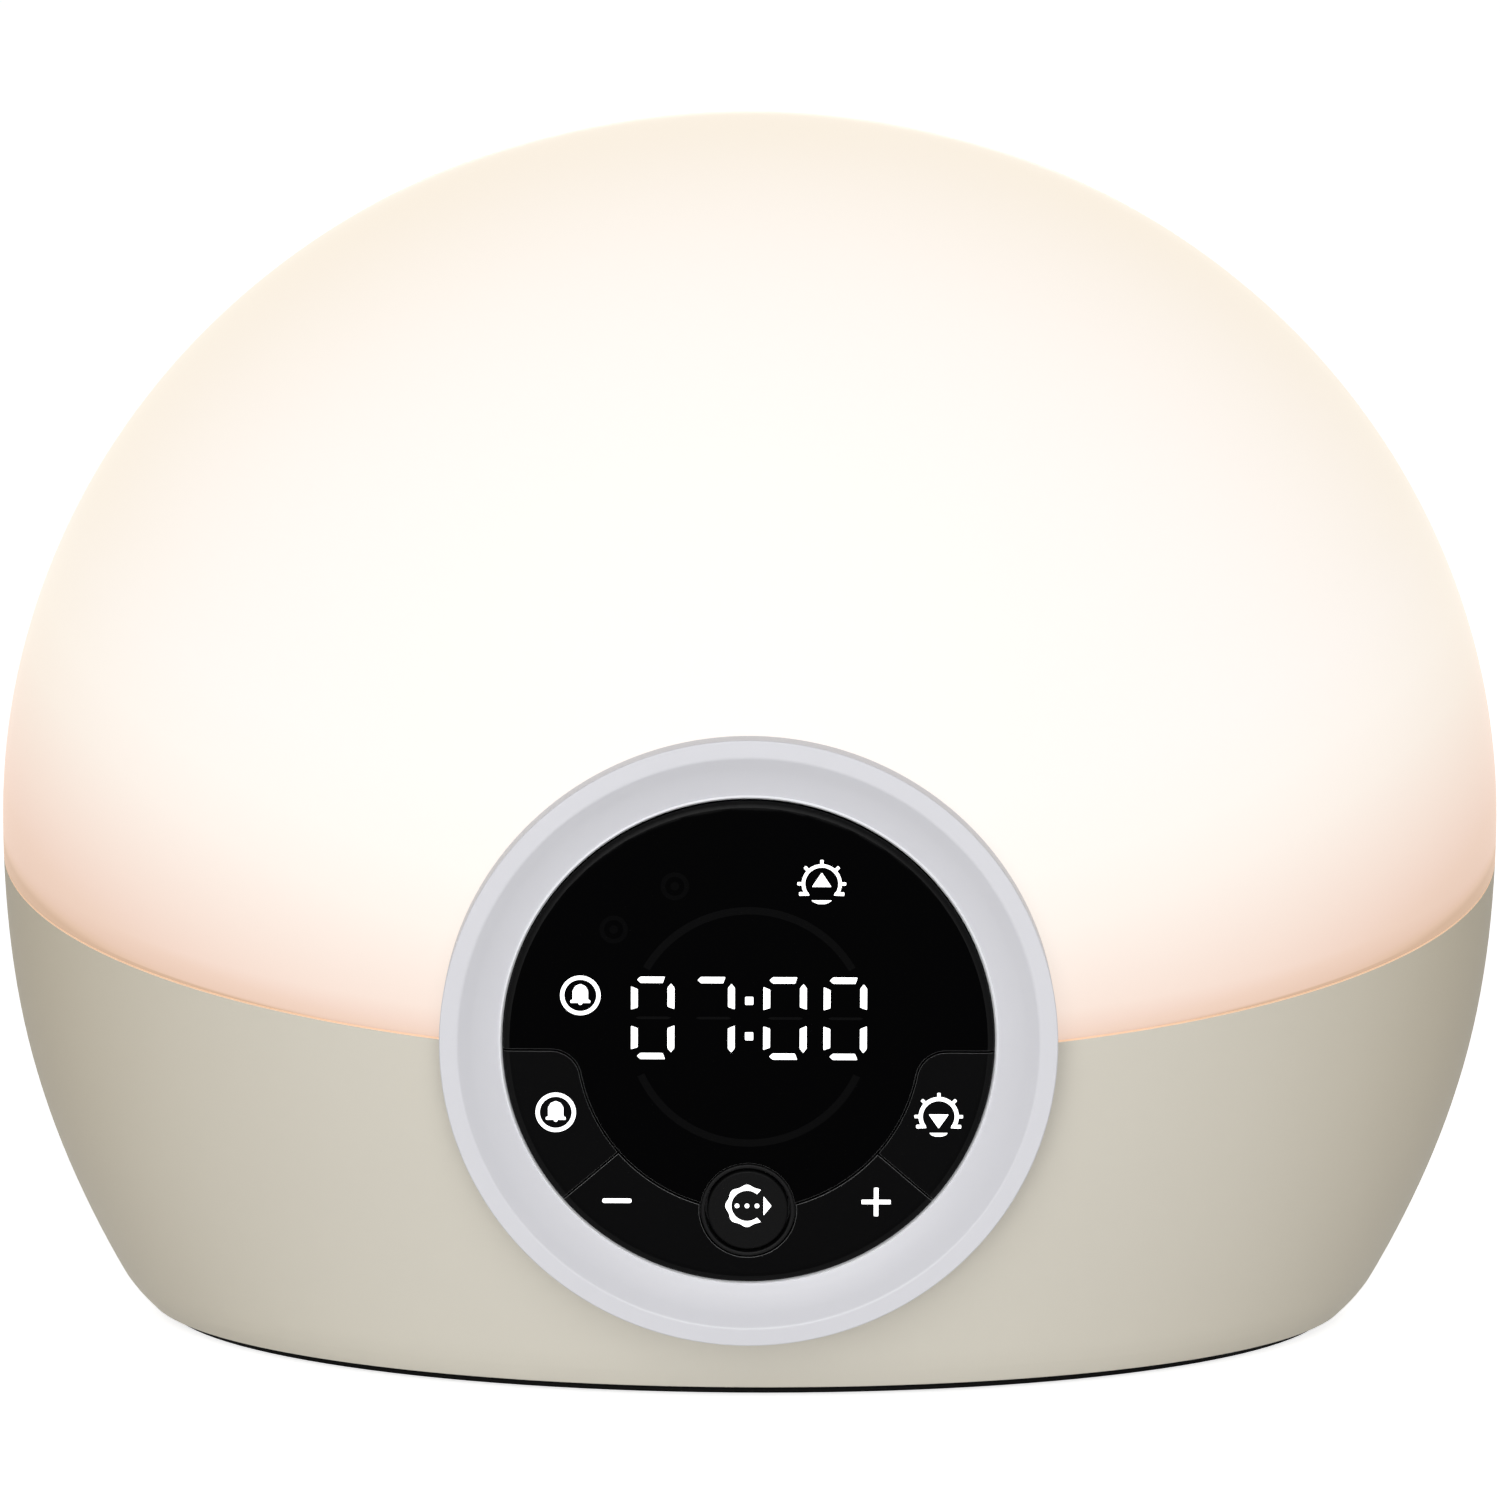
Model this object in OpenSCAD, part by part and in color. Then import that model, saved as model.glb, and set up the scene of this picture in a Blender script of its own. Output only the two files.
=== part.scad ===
// Sunrise alarm clock: a translucent lamp dome on a tapered base, with a round control
// face let into the front. The origin is on the table, under the middle of the body.
// The front faces -Y. The control face has its own axes: u to the right, v up from its
// centre, and depth w, which runs from its rim back into the body.

/* [Body] */
// Width across the widest section
body_w = 200; // [180:1:220]
// Depth from front to back at the widest section
body_d = 120; // [110:1:136]
// Height of the widest section above the table
girth_z = 67.2; // [62:0.1:74]
// Height of the dome above the widest section
dome_h = 95.2; // [85:0.1:110]
// Depth at which the taper of the base would close: more is straighter
base_taper = 114.5; // [105:0.5:140]
// Wall of the base housing
base_wall = 2.4; // [1.8:0.1:3]
// Wall of the diffuser dome
dome_wall = 2.4; // [1.8:0.1:3]

/* [Seam] */
// Height of the seam above the table at the middle of the body
seam_z = 63.9; // [58:0.1:70]
// Lean of the seam, up towards the back, in degrees
seam_tilt = 15.5; // [12:0.5:18]
// Open line between the dome and the base
seam_gap = 0.25; // [0.1:0.05:0.4]
// Length of the dome's spigot below the seam
spigot_h = 3.5; // [2:0.5:5]
// Wall of the spigot
spigot_t = 1.2; // [0.8:0.1:1.6]
// Clearance round the spigot
spigot_clear = 0.1; // [0.05:0.05:0.3]

/* [Foot] */
// Height of the housing's lower rim above the table
rim_z = 1.7; // [1:0.1:2]
// Height of the base plate's underside above the table
plate_z = 0.4; // [0.3:0.1:0.8]
// Thickness of the base plate inside the housing
plate_t = 2; // [1.6:0.1:3]
// Rounding of the rim's outer edge
rim_round = 4; // [1:0.5:5]
// How far the plate's edge stands back under the rim
plate_inset = 1.9; // [0.5:0.1:3]
// Radius of a rubber foot
foot_r = 6; // [4:0.5:7]
// How far a foot's centre stands in from the widest section at the side
foot_in_x = 52; // [48:1:56]
// How far a foot's centre stands in from the widest section at the front
foot_in_y = 33; // [31:1:36]
// How far a housing screw stands in from the widest section at the side
boss_in_x = 36; // [34:1:38]
// How far a housing screw stands in from the widest section at the front
boss_in_y = 43; // [40:1:45]
// Radius of a housing screw
base_screw_r = 1.5; // [1.2:0.1:2]

/* [Control face] */
// Height of the control face's centre above the table
face_z = 49.6; // [48:0.1:54]
// How far its rim stands in front of the body
face_proud = 2; // [1:0.1:4]
// Outer radius of the bezel ring
ring_r = 39.15; // [38.4:0.05:41]
// Width of the bezel's flat lip
lip_w = 2.3; // [1.5:0.1:3]
// Depth of the bezel's dish
dish_d = 2.6; // [1.5:0.1:3]
// How far the bezel reaches over the edge of its hole in the dome and the base
ring_cover = 1.05; // [0.9:0.05:1.4]
// Width of the dish between the lip and the black disc
dish_w = 5.65; // [5.2:0.05:6.2]
// Depth of the lens's front
lens_w = 1.4; // [0.8:0.1:1.6]
// Thickness of the lens
lens_t = 3; // [2.8:0.1:3.4]
// Width of the bevel round the disc
bevel_w = 1.3; // [0.6:0.1:2]
// Depth of the bevel round the disc
bevel_d = 0.9; // [0.4:0.1:1.2]

/* [Keys] */
// How far the keys stand in front of the lens
key_proud = 0.2; // [0:0.05:0.4]
// Travel of a pressed key
key_travel = 0.5; // [0.3:0.05:0.7]
// Open line between neighbouring keys
key_gap = 0.25; // [0.2:0.05:0.4]
// Width of the band of keys round the lens
band_w = 9.5; // [8.8:0.1:10]
// Height of the wing keys' top edge above the face's centre
wing_v = -1; // [-3:0.1:0]
// Rounding of the wing keys' inner corner
wing_corner = 3.8; // [2:0.1:5]
// Angle of the division lines below the horizontal
split_a = 40.8; // [39:0.1:42]
// Distance of the menu key's centre from the disc's edge
menu_in = 9.6; // [9.2:0.1:9.8]
// Radius of the menu key
menu_r = 5.15; // [4.6:0.05:5.2]
// Outer radius of the collar round the menu key
collar_r = 5.95; // [5.9:0.05:6.2]
// How far the collar stands in front of the lens
collar_proud = 0.5; // [0.2:0.1:0.8]
// Radius of a key's stem
stem_r = 2; // [1.6:0.1:2.2]

/* [Display] */
// Height of a digit as a share of the disc's radius
digit_share = 0.346; // [0.3:0.002:0.36]
// Width of a digit as a share of its height
digit_slim = 0.514; // [0.46:0.002:0.56]
// Thickness of a segment as a share of the digit's height
segment_share = 0.0833; // [0.06:0.0001:0.1]
// Distance from one digit to the next as a share of the digit's height
pitch_share = 0.704; // [0.66:0.002:0.74]
// Extra room for the colon as a share of the digit's height
colon_share = 0.142; // [0.1:0.002:0.18]
// Height of the display's middle above the face's centre
display_v = 2.9; // [2:0.1:3.4]
// Radius of an indicator's light guide
guide_r = 2.9; // [2.4:0.1:3.1]

/* [Lamp] */
// Thickness of the white reflector tray
tray_t = 1.8; // [1.2:0.1:2.4]
// Width of the ledge that carries the tray
ledge_w = 9; // [8:0.5:11]
// Length of the lamp board
lamp_x = 110; // [80:1:120]
// Width of the lamp board
lamp_y = 48; // [36:1:50]
// Lamps along the board
lamp_cols = 8; // [4:1:9]
// Rows of lamps on the board
lamp_rows = 3; // [2:1:4]
// Side of one lamp
lamp_side = 5; // [3:0.5:6]

/* [Electronics] */
// How much narrower the main board is than the body
board_less_x = 132; // [130:1:140]
// How much shallower the main board is than the body
board_less_y = 46; // [44:1:54]
// Height of the main board above the base plate
board_lift = 7.6; // [6:0.2:9]
// Radius of the loudspeaker
speaker_r = 16; // [13:0.5:16.5]
// How far the loudspeaker's centre stands in from the widest section
speaker_in = 50; // [48:1:52]
// Radius of the power inlet's bore
inlet_r = 3.2; // [2.6:0.1:3.4]
// How far the power inlet stands in from the main board's left edge
inlet_in = 8; // [6:1:12]

/* [Hidden] */

$fn = 96;
shell_fn = 128;
big = 300;
fuse = 0.4;

// Body form: half axes of the widest section.
half_w = body_w / 2;
half_d = body_d / 2;
foot_x = half_w - foot_in_x;
foot_y = half_d - foot_in_y;
boss_x = half_w - boss_in_x;
boss_y = half_d - boss_in_y;
speaker_x = half_w - speaker_in;
thick_wall = max(base_wall, dome_wall);
spigot_out = base_wall + spigot_clear;
spigot_in = spigot_out + spigot_t;

// Foot: the rim's outer edge is rounded, and the plate drops into its opening.
rim_share = sqrt(1 - pow((girth_z - rim_z) / base_taper, 2));
rim_lean = 90 - atan(half_w * (girth_z - rim_z) / (pow(base_taper, 2) * rim_share));
plate_clear = 0.2;
plate_top = rim_z + plate_t;
foot_sink = 0.6;
foot_h = plate_z + foot_sink;
boss_r = 3.5;
boss_top = 34;
boss_rib_t = 2;
pilot_clear = 0.05;
screw_head_r = 2 * base_screw_r;
screw_head_h = 1.4;
base_screw_l = 12;

// Control face: depths w, measured from the rim.
face_y = -(half_d + face_proud);
bore_r = ring_r - ring_cover;
disc_r = ring_r - lip_w - dish_w;
band_r = disc_r - band_w;
menu_v = disc_r - menu_in;
ring_tube_out = bore_r - 0.1;
ring_tube_t = 1.8;
ring_tube_in = ring_tube_out - ring_tube_t;
ring_tube_end = 16;
ring_skirt_end = 14;
ring_seat = 0.1;
lip_round = 0.75;
bead_w = 0.4;
bead_h = 0.25;
dish_r = disc_r + 0.15;
dish_wall = 1.8;
hook_w = 6;
hook_t = 2;
hook_out = 1.3;
hook_play = 0.4;
hook_angles = [35, 145, 215, 325];

// Depths of what is stacked behind the bezel.
frame_w = lens_w + lens_t;
frame_t = 2;
frame_back = frame_w + frame_t;
frame_r = ring_tube_in - 0.4;
switch_h = 3.5;
switch_side = 6;
board_w = frame_back + 6.2;
board_t = 1.6;
board_back = board_w + board_t;
board_r = frame_r - 3.3;
cover_rim_t = 1.4;
cover_w = board_back + 1.8;
cover_t = 1.6;
cover_back = cover_w + cover_t;

// Keys: each stem ends on the plunger of its switch.
half_gap = key_gap / 2;
key_rest = 0.3;
key_w = lens_w - key_proud;
key_back = frame_w - key_travel - key_rest;
plunger_r = 1.75;
plunger_in = 0.8;
switch_w = board_w - switch_h;
plunger_w = switch_w - 1.1;
plunger_play = 0.25;
switch_well = plunger_in + key_travel + 0.5;
stem_play = 0.3;
guide_pin_r = 1;
guide_pin_play = 0.2;
guide_pin_end = frame_back + 0.8;
band_mid = (band_r + disc_r) / 2;
band_out = disc_r + 1;
alarm_a = 200;
pin_a = 212;
rocker_a = 231.5;
collar_in = menu_r + 0.3;
collar_w = lens_w - collar_proud;
menu_w = lens_w - 0.4;
rib_r = 0.8;
rib_play = 0.05;
rib_l = 2.4;
rib_w = key_back + 0.2;
rib_v = -(menu_v + collar_r + disc_r) / 2;
cradle_side = 3.6;
function polar(r, a) = [r * cos(a), r * sin(a)];
alarm_at = polar(band_mid, alarm_a);
light_at = polar(band_mid, 180 - alarm_a);
menu_at = [0, -menu_v];
minus_at = polar(band_mid, rocker_a);
plus_at = polar(band_mid, 180 - rocker_a);
switches_at = [alarm_at, light_at, menu_at, minus_at, plus_at];

// Display: a four-digit module with the colon in the middle.
digit_h = digit_share * disc_r;
digit_w = digit_slim * digit_h;
segment_t = segment_share * digit_h;
digit_pitch = pitch_share * digit_h;
colon_room = colon_share * digit_h;
module_margin = 2;
module_front = frame_w + 0.1;
segment_sink = 0.3;
segment_cut = 0.12;
module_x = 4 * digit_pitch + colon_room + module_margin;
module_v = digit_h + 2 * module_margin;
window_play = 0.3;
icon_r = 0.7115 * disc_r;
icon_angles = [65.5, 114.5, 139.4, 164.7];
icons_at = [for (a = icon_angles) polar(icon_r, a)];
guide_back = board_w - 1.3;
guide_play = 0.2;

// Posts that carry the control board, and their screws.
post_r = 2.4;
pod_screw_r = 1;
pod_head_r = 1.9;
pod_head_h = 1.2;
pod_screw_l = 9;
post_play = 0.1;
post_at_r = board_r - 2.8;
posts_at = [for (a = [28, 152, 218, 322]) polar(post_at_r, a)];

// Lamp chamber: levels along the normal of the seam plane.
tray_play = 0.2;
tray_top = -(spigot_h + tray_play);
tray_under = tray_top - tray_t;
ledge_t = 2;
tray_edge = spigot_in + 0.5;
pod_clear_r = ring_r + 0.9;
pod_clear_w = cover_back + 2.6;
spreader_t = 2;
spreader_rim = 4;
lamp_board_t = 1.6;
lamp_h = 1.4;
lamp_mid_y = 8;
lamp_deck = tray_top + spreader_t + lamp_board_t;
tray_screw_r = 1.4;
tray_head_r = 2.6;
tray_head_h = 1.6;
tray_screw_l = tray_t + ledge_t + 2;
tray_screw_in = base_wall + 0.6 * ledge_w;
tray_hole_low = tray_under - ledge_t - 1;
tray_hole_l = ledge_t + tray_t + 3;
tray_screw_angles = [0, 60, 120, 180];
lead_r = 0.8;
lead_pitch = 2.6;
lead_at = [lamp_x / lamp_cols, 20];
lead_socket = [8, 5, 4];

// Main board: stands on posts of the base plate, right edge short of the loudspeaker.
board_x = body_w - board_less_x;
board_y = body_d - board_less_y;
main_z = plate_top + board_lift;
main_t = 1.6;
main_top = main_z + main_t;
main_right_in = 8;
main_front_in = 26;
main_right = speaker_x - speaker_r - main_right_in;
main_front = main_front_in - half_d;
main_left = main_right - board_x;
main_back = main_front + board_y;
inlet_x = -(main_left + inlet_in);
main_post_r = 3;
main_post_in = 4;
inlet_side = 9;
inlet_z = main_top + inlet_side / 2;
inlet_l = 13;
inlet_nose_r = inlet_r + 1;
inlet_hole_r = inlet_nose_r + 0.3;
inlet_depth = 9.5;
inlet_pin_r = 1;
can_r = 3.2;
can_h = 11;
speaker_lead_in = 6;
nose_l = 4.2;

// Ribbon: leaves the control board level and turns down to the main board.
ribbon_x = -8;
ribbon_w = 10;
ribbon_t = 0.8;
ribbon_v = -16;
ribbon_bend = 8;
ribbon_y = main_front + 6;
socket_h = 4;
socket_w = 12;
socket_t = 4;
ribbon_grip = 2;

// Loudspeaker: fires down through the slots of the base plate.
speaker_rim_h = 2;
basket_h = 6;
magnet_r = 10;
magnet_h = 6;
slot_w = 2;
slot_pitch = 4;
slot_count = 5;

// ---------- Shared forms ----------

module level_above(z) {
    translate([-big / 2, -big / 2, z]) cube([big, big, big]);
}

module ellipsoid(inset, rise) {
    translate([0, 0, girth_z])
        scale([half_w - inset, half_d - inset, rise - inset])
            sphere(r = 1, $fn = shell_fn);
}

// The whole outer form, drawn in by inset: a dome above and a taper below.
module form(inset = 0) {
    intersection() {
        ellipsoid(inset, dome_h);
        level_above(girth_z);
    }
    difference() {
        ellipsoid(inset, base_taper);
        level_above(girth_z);
    }
}

// A wider, flatter ellipsoid that touches the rounding of the rim at an angle.
module rim_turn(angle) {
    touch_r = half_w * rim_share + rim_round * (sin(angle) - tan(rim_lean / 2));
    fall = girth_z - rim_z - rim_round * (1 - cos(angle));
    flatness = sqrt(tan(angle) * fall / touch_r);
    reach = sqrt(pow(touch_r, 2) + pow(fall / flatness, 2));
    translate([0, 0, girth_z])
        scale([reach, reach * half_d / half_w, reach * flatness])
            sphere(r = 1, $fn = shell_fn);
}

// Everything between two levels, measured along the normal of the seam plane.
module seam_slab(low, high) {
    translate([0, 0, seam_z])
        rotate([seam_tilt, 0, 0])
            translate([-big / 2, -big / 2, low])
                cube([big, big, high - low]);
}

// A place in the seam plane, with z along its normal.
module on_seam(x, y, level) {
    translate([0, 0, seam_z])
        rotate([seam_tilt, 0, 0])
            translate([x, y, level])
                children();
}

// Extrudes a flat outline of the control face from depth w0 back to depth w1.
module behind_face(w0, w1) {
    translate([0, face_y + w1, face_z])
        rotate([90, 0, 0])
            linear_extrude(w1 - w0)
                children();
}

// Turns a profile, drawn as radius against minus depth, round the face's axis.
module turned() {
    translate([0, face_y, face_z])
        rotate([90, 0, 0])
            rotate_extrude()
                children();
}

module peg(at, r, w0, w1) {
    behind_face(w0, w1)
        translate(at)
            circle(r = r);
}

// Depth of the shell's inner face behind a place on the control face.
function rise_at(v) = face_z + v > girth_z ? dome_h : base_taper;
function shell_depth(u, v, wall) =
    -face_y - (half_d - wall) * sqrt(
        1 - pow(u / (half_w - wall), 2)
        - pow((face_z + v - girth_z) / (rise_at(v) - wall), 2));

// Outline of the foot at the lower rim, drawn in by inset.
module footprint(inset, z0, z1) {
    translate([0, 0, z0])
        linear_extrude(z1 - z0)
            scale([half_w * rim_share - inset, half_d * rim_share - inset])
                circle(r = 1, $fn = shell_fn);
}

module at_corners(x, y) {
    for (sx = [-1, 1])
        for (sy = [-1, 1])
            translate([sx * x, sy * y, 0])
                children();
}

// Room that the control pod takes out of the lamp chamber.
module pod_room() {
    behind_face(-face_proud, pod_clear_w)
        circle(r = pod_clear_r);
}

module face_bore() {
    behind_face(-face_proud, pod_clear_w)
        circle(r = bore_r);
}

// ---------- Shells ----------

module diffuser_dome() {
    color("ivory")
        difference() {
            union() {
                intersection() {
                    difference() {
                        form();
                        form(dome_wall);
                    }
                    seam_slab(0, big);
                }
                intersection() {
                    difference() {
                        form(spigot_out);
                        form(spigot_in);
                    }
                    seam_slab(-spigot_h, fuse);
                }
                intersection() {
                    difference() {
                        form(dome_wall - fuse);
                        form(spigot_in);
                    }
                    seam_slab(0, 2 * spigot_t);
                }
            }
            face_bore();
        }
}

module housing_bosses() {
    intersection() {
        at_corners(boss_x, boss_y) {
            translate([0, 0, plate_top])
                cylinder(r = boss_r, h = boss_top - plate_top);
        }
        form(base_wall / 2);
    }
    for (side = [-1, 1])
        for (end = [-1, 1])
            intersection() {
                translate([side * boss_x, end * boss_y - boss_rib_t / 2, plate_top])
                    mirror([side < 0 ? 1 : 0, 0, 0])
                        cube([half_w, boss_rib_t, boss_top - plate_top]);
                form(base_wall / 2);
            }
}

module base_housing() {
    color("#cfcabd")
        difference() {
            union() {
                difference() {
                    intersection() {
                        form();
                        rim_turn(rim_lean / 3);
                        rim_turn(rim_lean * 2 / 3);
                    }
                    form(base_wall);
                    seam_slab(-seam_gap, big);
                    mirror([0, 0, 1]) level_above(-rim_z);
                }
                difference() {
                    intersection() {
                        form(base_wall - fuse);
                        seam_slab(tray_under - ledge_t, tray_under);
                    }
                    form(base_wall + ledge_w);
                    pod_room();
                }
                housing_bosses();
            }
            face_bore();
            at_corners(boss_x, boss_y)
                cylinder(r = base_screw_r + pilot_clear, h = rim_z + base_screw_l + 3);
            for (a = tray_screw_angles)
                on_seam((half_w - tray_screw_in) * cos(a), (half_d - tray_screw_in) * sin(a), tray_hole_low)
                    cylinder(r = tray_screw_r + pilot_clear, h = tray_hole_l);
            translate([-inlet_x, 0, inlet_z])
                rotate([-90, 0, 0])
                    cylinder(r = inlet_hole_r, h = half_d);
        }
}

module speaker_slots() {
    intersection() {
        translate([speaker_x, 0, -plate_t])
            cylinder(r = speaker_r - 3, h = 4 * plate_t);
        for (k = [0:slot_count - 1])
            translate([speaker_x - speaker_r, (k - (slot_count - 1) / 2) * slot_pitch - slot_w / 2, -plate_t])
                cube([2 * speaker_r, slot_w, 4 * plate_t]);
    }
}

main_posts_at = [
    [main_left + main_post_in, main_front + main_post_in],
    [main_right - main_post_in, main_front + main_post_in],
    [main_right - main_post_in, main_back - main_post_in],
    [main_left + main_post_in, main_back - 4 * main_post_in]
];

module base_plate() {
    color("#26241f")
        difference() {
            union() {
                footprint(plate_inset, plate_z, rim_z);
                footprint(base_wall + plate_clear + 0.6, rim_z - fuse, plate_top);
                for (p = main_posts_at)
                    translate([p[0], p[1], plate_top - fuse])
                        cylinder(r = main_post_r, h = board_lift + fuse);
            }
            at_corners(foot_x, foot_y)
                cylinder(r = foot_r + plate_clear / 2, h = foot_h);
            at_corners(boss_x, boss_y) {
                cylinder(r = screw_head_r + plate_clear, h = plate_z + screw_head_h);
                cylinder(r = base_screw_r + plate_clear, h = plate_top + 1);
            }
            speaker_slots();
        }
}

module rubber_feet() {
    color("#1b1b1b")
        at_corners(foot_x, foot_y)
            cylinder(r = foot_r, h = foot_h);
}

module base_screws() {
    color("silver")
        at_corners(boss_x, boss_y) {
            translate([0, 0, plate_z])
                cylinder(r = screw_head_r, h = screw_head_h);
            translate([0, 0, plate_z])
                cylinder(r = base_screw_r, h = base_screw_l);
        }
}

// ---------- Control face ----------

module bezel_profile() {
    difference() {
        union() {
            polygon([
                [ring_r - lip_w, 0],
                [ring_r - lip_round, 0],
                [ring_r - lip_round, -lip_round],
                [ring_tube_out, -ring_tube_end],
                [ring_tube_in, -ring_tube_end],
                [ring_tube_in, -dish_wall],
                [dish_r + dish_wall, -frame_w],
                [dish_r, -frame_w],
                [dish_r, -dish_d],
                [dish_r + bead_w / 2, -(dish_d - bead_h)],
                [dish_r + bead_w, -dish_d]
            ]);
            translate([ring_r - lip_round, -lip_round])
                circle(r = lip_round);
            translate([ring_tube_out - fuse, -ring_skirt_end])
                square([ring_r - ring_tube_out + fuse, ring_skirt_end - lip_round]);
        }
        translate([ring_r, -ring_tube_end - 1])
            square([big, ring_tube_end + 2]);
    }
}

module bezel_hooks() {
    for (a = hook_angles) {
        at = polar(ring_r + 0.2, a);
        w0 = shell_depth(at[0], at[1], thick_wall) + hook_play;
        behind_face(w0, w0 + hook_t)
            rotate(a)
                translate([ring_tube_in + fuse, -hook_w / 2])
                    square([ring_tube_out + hook_out - ring_tube_in - fuse, hook_w]);
    }
}

module bezel_ring() {
    color("#d5d4da") {
        difference() {
            turned() bezel_profile();
            difference() {
                form(-ring_seat);
                behind_face(-1, ring_tube_end + 1) circle(r = ring_tube_out);
            }
        }
        bezel_hooks();
    }
}

// A solid disc with the bevelled edge that the lens and the keys share.
module puck(w0, w1) {
    turned()
        polygon([
            [0, -w0],
            [disc_r - bevel_w, -w0],
            [disc_r, -(w0 + bevel_d)],
            [disc_r, -w1],
            [0, -w1]
        ]);
}

// Outline of the left wing key, drawn in by inset from the middle of its open lines.
module wing(inset) {
    hub = band_r + wing_corner;
    corner = [-sqrt(pow(hub, 2) - pow(wing_corner - wing_v, 2)), wing_v - wing_corner];
    inner = band_r + inset;
    top = wing_v - inset;
    difference() {
        intersection() {
            circle(r = band_out);
            translate([-big, top - big]) square(big);
            rotate(180 + split_a) translate([0, -big - inset]) square(big);
        }
        circle(r = inner);
        polygon([
            [corner[0], top],
            [-sqrt(pow(inner, 2) - pow(top, 2)) + fuse, top + fuse],
            [-sqrt(pow(inner, 2) - pow(top, 2)) + fuse, top],
            corner * inner / hub,
            corner
        ]);
    }
    translate(corner) circle(r = wing_corner - inset);
}

// Outline of the minus and plus key: a band below the lens, round the menu key.
module rocker(inset) {
    difference() {
        intersection() {
            circle(r = band_out);
            rotate(180 + split_a) translate([-big / 2, inset]) square(big);
            mirror([1, 0]) rotate(180 + split_a) translate([-big / 2, inset]) square(big);
        }
        circle(r = band_r + inset);
        translate(menu_at) circle(r = collar_r + half_gap + inset);
    }
}

module lens_panel() {
    color("#070707")
        intersection() {
            puck(lens_w, frame_w);
            behind_face(lens_w, frame_w)
                difference() {
                    circle(r = disc_r);
                    wing(-half_gap);
                    mirror([1, 0]) wing(-half_gap);
                    rocker(-half_gap);
                    translate(menu_at) circle(r = collar_r + half_gap / 2);
                }
        }
}

module menu_collar() {
    color("#1d1d1f")
        behind_face(collar_w, frame_w)
            translate(menu_at)
                difference() {
                    circle(r = collar_r);
                    circle(r = collar_in);
                }
}

module wing_key() {
    intersection() {
        puck(key_w, key_back);
        behind_face(key_w, key_back) wing(half_gap);
    }
    peg(alarm_at, stem_r, key_back - fuse, plunger_w);
    peg(polar(band_mid, pin_a), guide_pin_r, key_back - fuse, guide_pin_end);
}

module alarm_key() {
    color("#101012") wing_key();
}

module light_key() {
    color("#101012") mirror([1, 0, 0]) wing_key();
}

module menu_key() {
    color("#161618") {
        peg(menu_at, menu_r, menu_w, key_back);
        peg(menu_at, stem_r, key_back - fuse, plunger_w);
    }
}

module rocker_rib(r, l) {
    translate([0, face_y + rib_w, face_z + rib_v - l / 2])
        cylinder(r = r, h = l);
}

module minus_plus_rocker() {
    color("#101012") {
        intersection() {
            puck(key_w, key_back);
            behind_face(key_w, key_back) rocker(half_gap);
        }
        peg(minus_at, stem_r, key_back - fuse, plunger_w);
        peg(plus_at, stem_r, key_back - fuse, plunger_w);
        rocker_rib(rib_r, rib_l);
    }
}

module plunger(at) {
    color("#e8e4da")
        peg(at, plunger_r, plunger_w, switch_w + plunger_in);
}

module alarm_plunger() plunger(alarm_at);

module light_plunger() plunger(light_at);

module menu_plunger() plunger(menu_at);

module rocker_plungers() {
    plunger(minus_at);
    plunger(plus_at);
}

// ---------- Control pod ----------

module key_frame() {
    color("#2a2a2d")
        difference() {
            union() {
                peg([0, 0], frame_r, frame_w, frame_back);
                for (p = posts_at)
                    peg(p, post_r, frame_back - fuse, board_w);
                translate([-cradle_side / 2, face_y + frame_w - fuse, face_z + rib_v - rib_l / 2])
                    cube([cradle_side, frame_t, rib_l]);
            }
            for (p = posts_at)
                peg(p, pod_screw_r + pilot_clear, frame_back + 0.6, board_w + 1);
            for (p = switches_at)
                peg(p, stem_r + stem_play, frame_w - 1, frame_back + 1);
            for (p = icons_at)
                peg(p, guide_r + guide_play, frame_w - 1, frame_back + 1);
            for (side = [0, 1])
                mirror([side, 0, 0])
                    peg(polar(band_mid, pin_a), guide_pin_r + guide_pin_play, frame_w - 1, frame_back + 1);
            behind_face(frame_w - 1, frame_back + 1)
                translate([0, display_v])
                    square([module_x + window_play, module_v + window_play], center = true);
            rocker_rib(rib_r + rib_play, rib_l + 2);
        }
}

module control_board() {
    color("#1f5a3a")
        difference() {
            peg([0, 0], board_r, board_w, board_back);
            for (p = posts_at)
                peg(p, pod_screw_r + post_play, board_w - 1, board_back + 1);
        }
}

module tact_switches() {
    color("#3a3a3c")
        for (p = switches_at)
            difference() {
                behind_face(switch_w, board_w)
                    translate(p)
                        square(switch_side, center = true);
                peg(p, plunger_r + plunger_play, switch_w - 1, switch_w + switch_well);
            }
}

module digit_places() {
    for (k = [0:3])
        translate([
            (k - 1.5) * digit_pitch + (k < 2 ? -0.5 : 0.5) * colon_room,
            display_v
        ])
            children();
}

// One segment: a bar with pointed ends, lying along x.
module segment(l) {
    polygon([
        [-l / 2, 0],
        [-(l - segment_t) / 2, segment_t / 2],
        [(l - segment_t) / 2, segment_t / 2],
        [l / 2, 0],
        [(l - segment_t) / 2, -segment_t / 2],
        [-(l - segment_t) / 2, -segment_t / 2]
    ]);
}

module digit() {
    flat_l = digit_w - segment_t - 2 * segment_cut;
    tall_l = (digit_h - segment_t) / 2 - 2 * segment_cut;
    for (v = [-1, 0, 1])
        translate([0, v * (digit_h - segment_t) / 2])
            segment(flat_l);
    for (u = [-1, 1])
        for (v = [-1, 1])
            translate([u * (digit_w - segment_t) / 2, v * (digit_h - segment_t) / 4])
                rotate(90)
                    segment(tall_l);
}

module colon() {
    for (v = [-1, 1])
        translate([0, display_v + v * digit_h / 6])
            square(segment_t, center = true);
}

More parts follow.
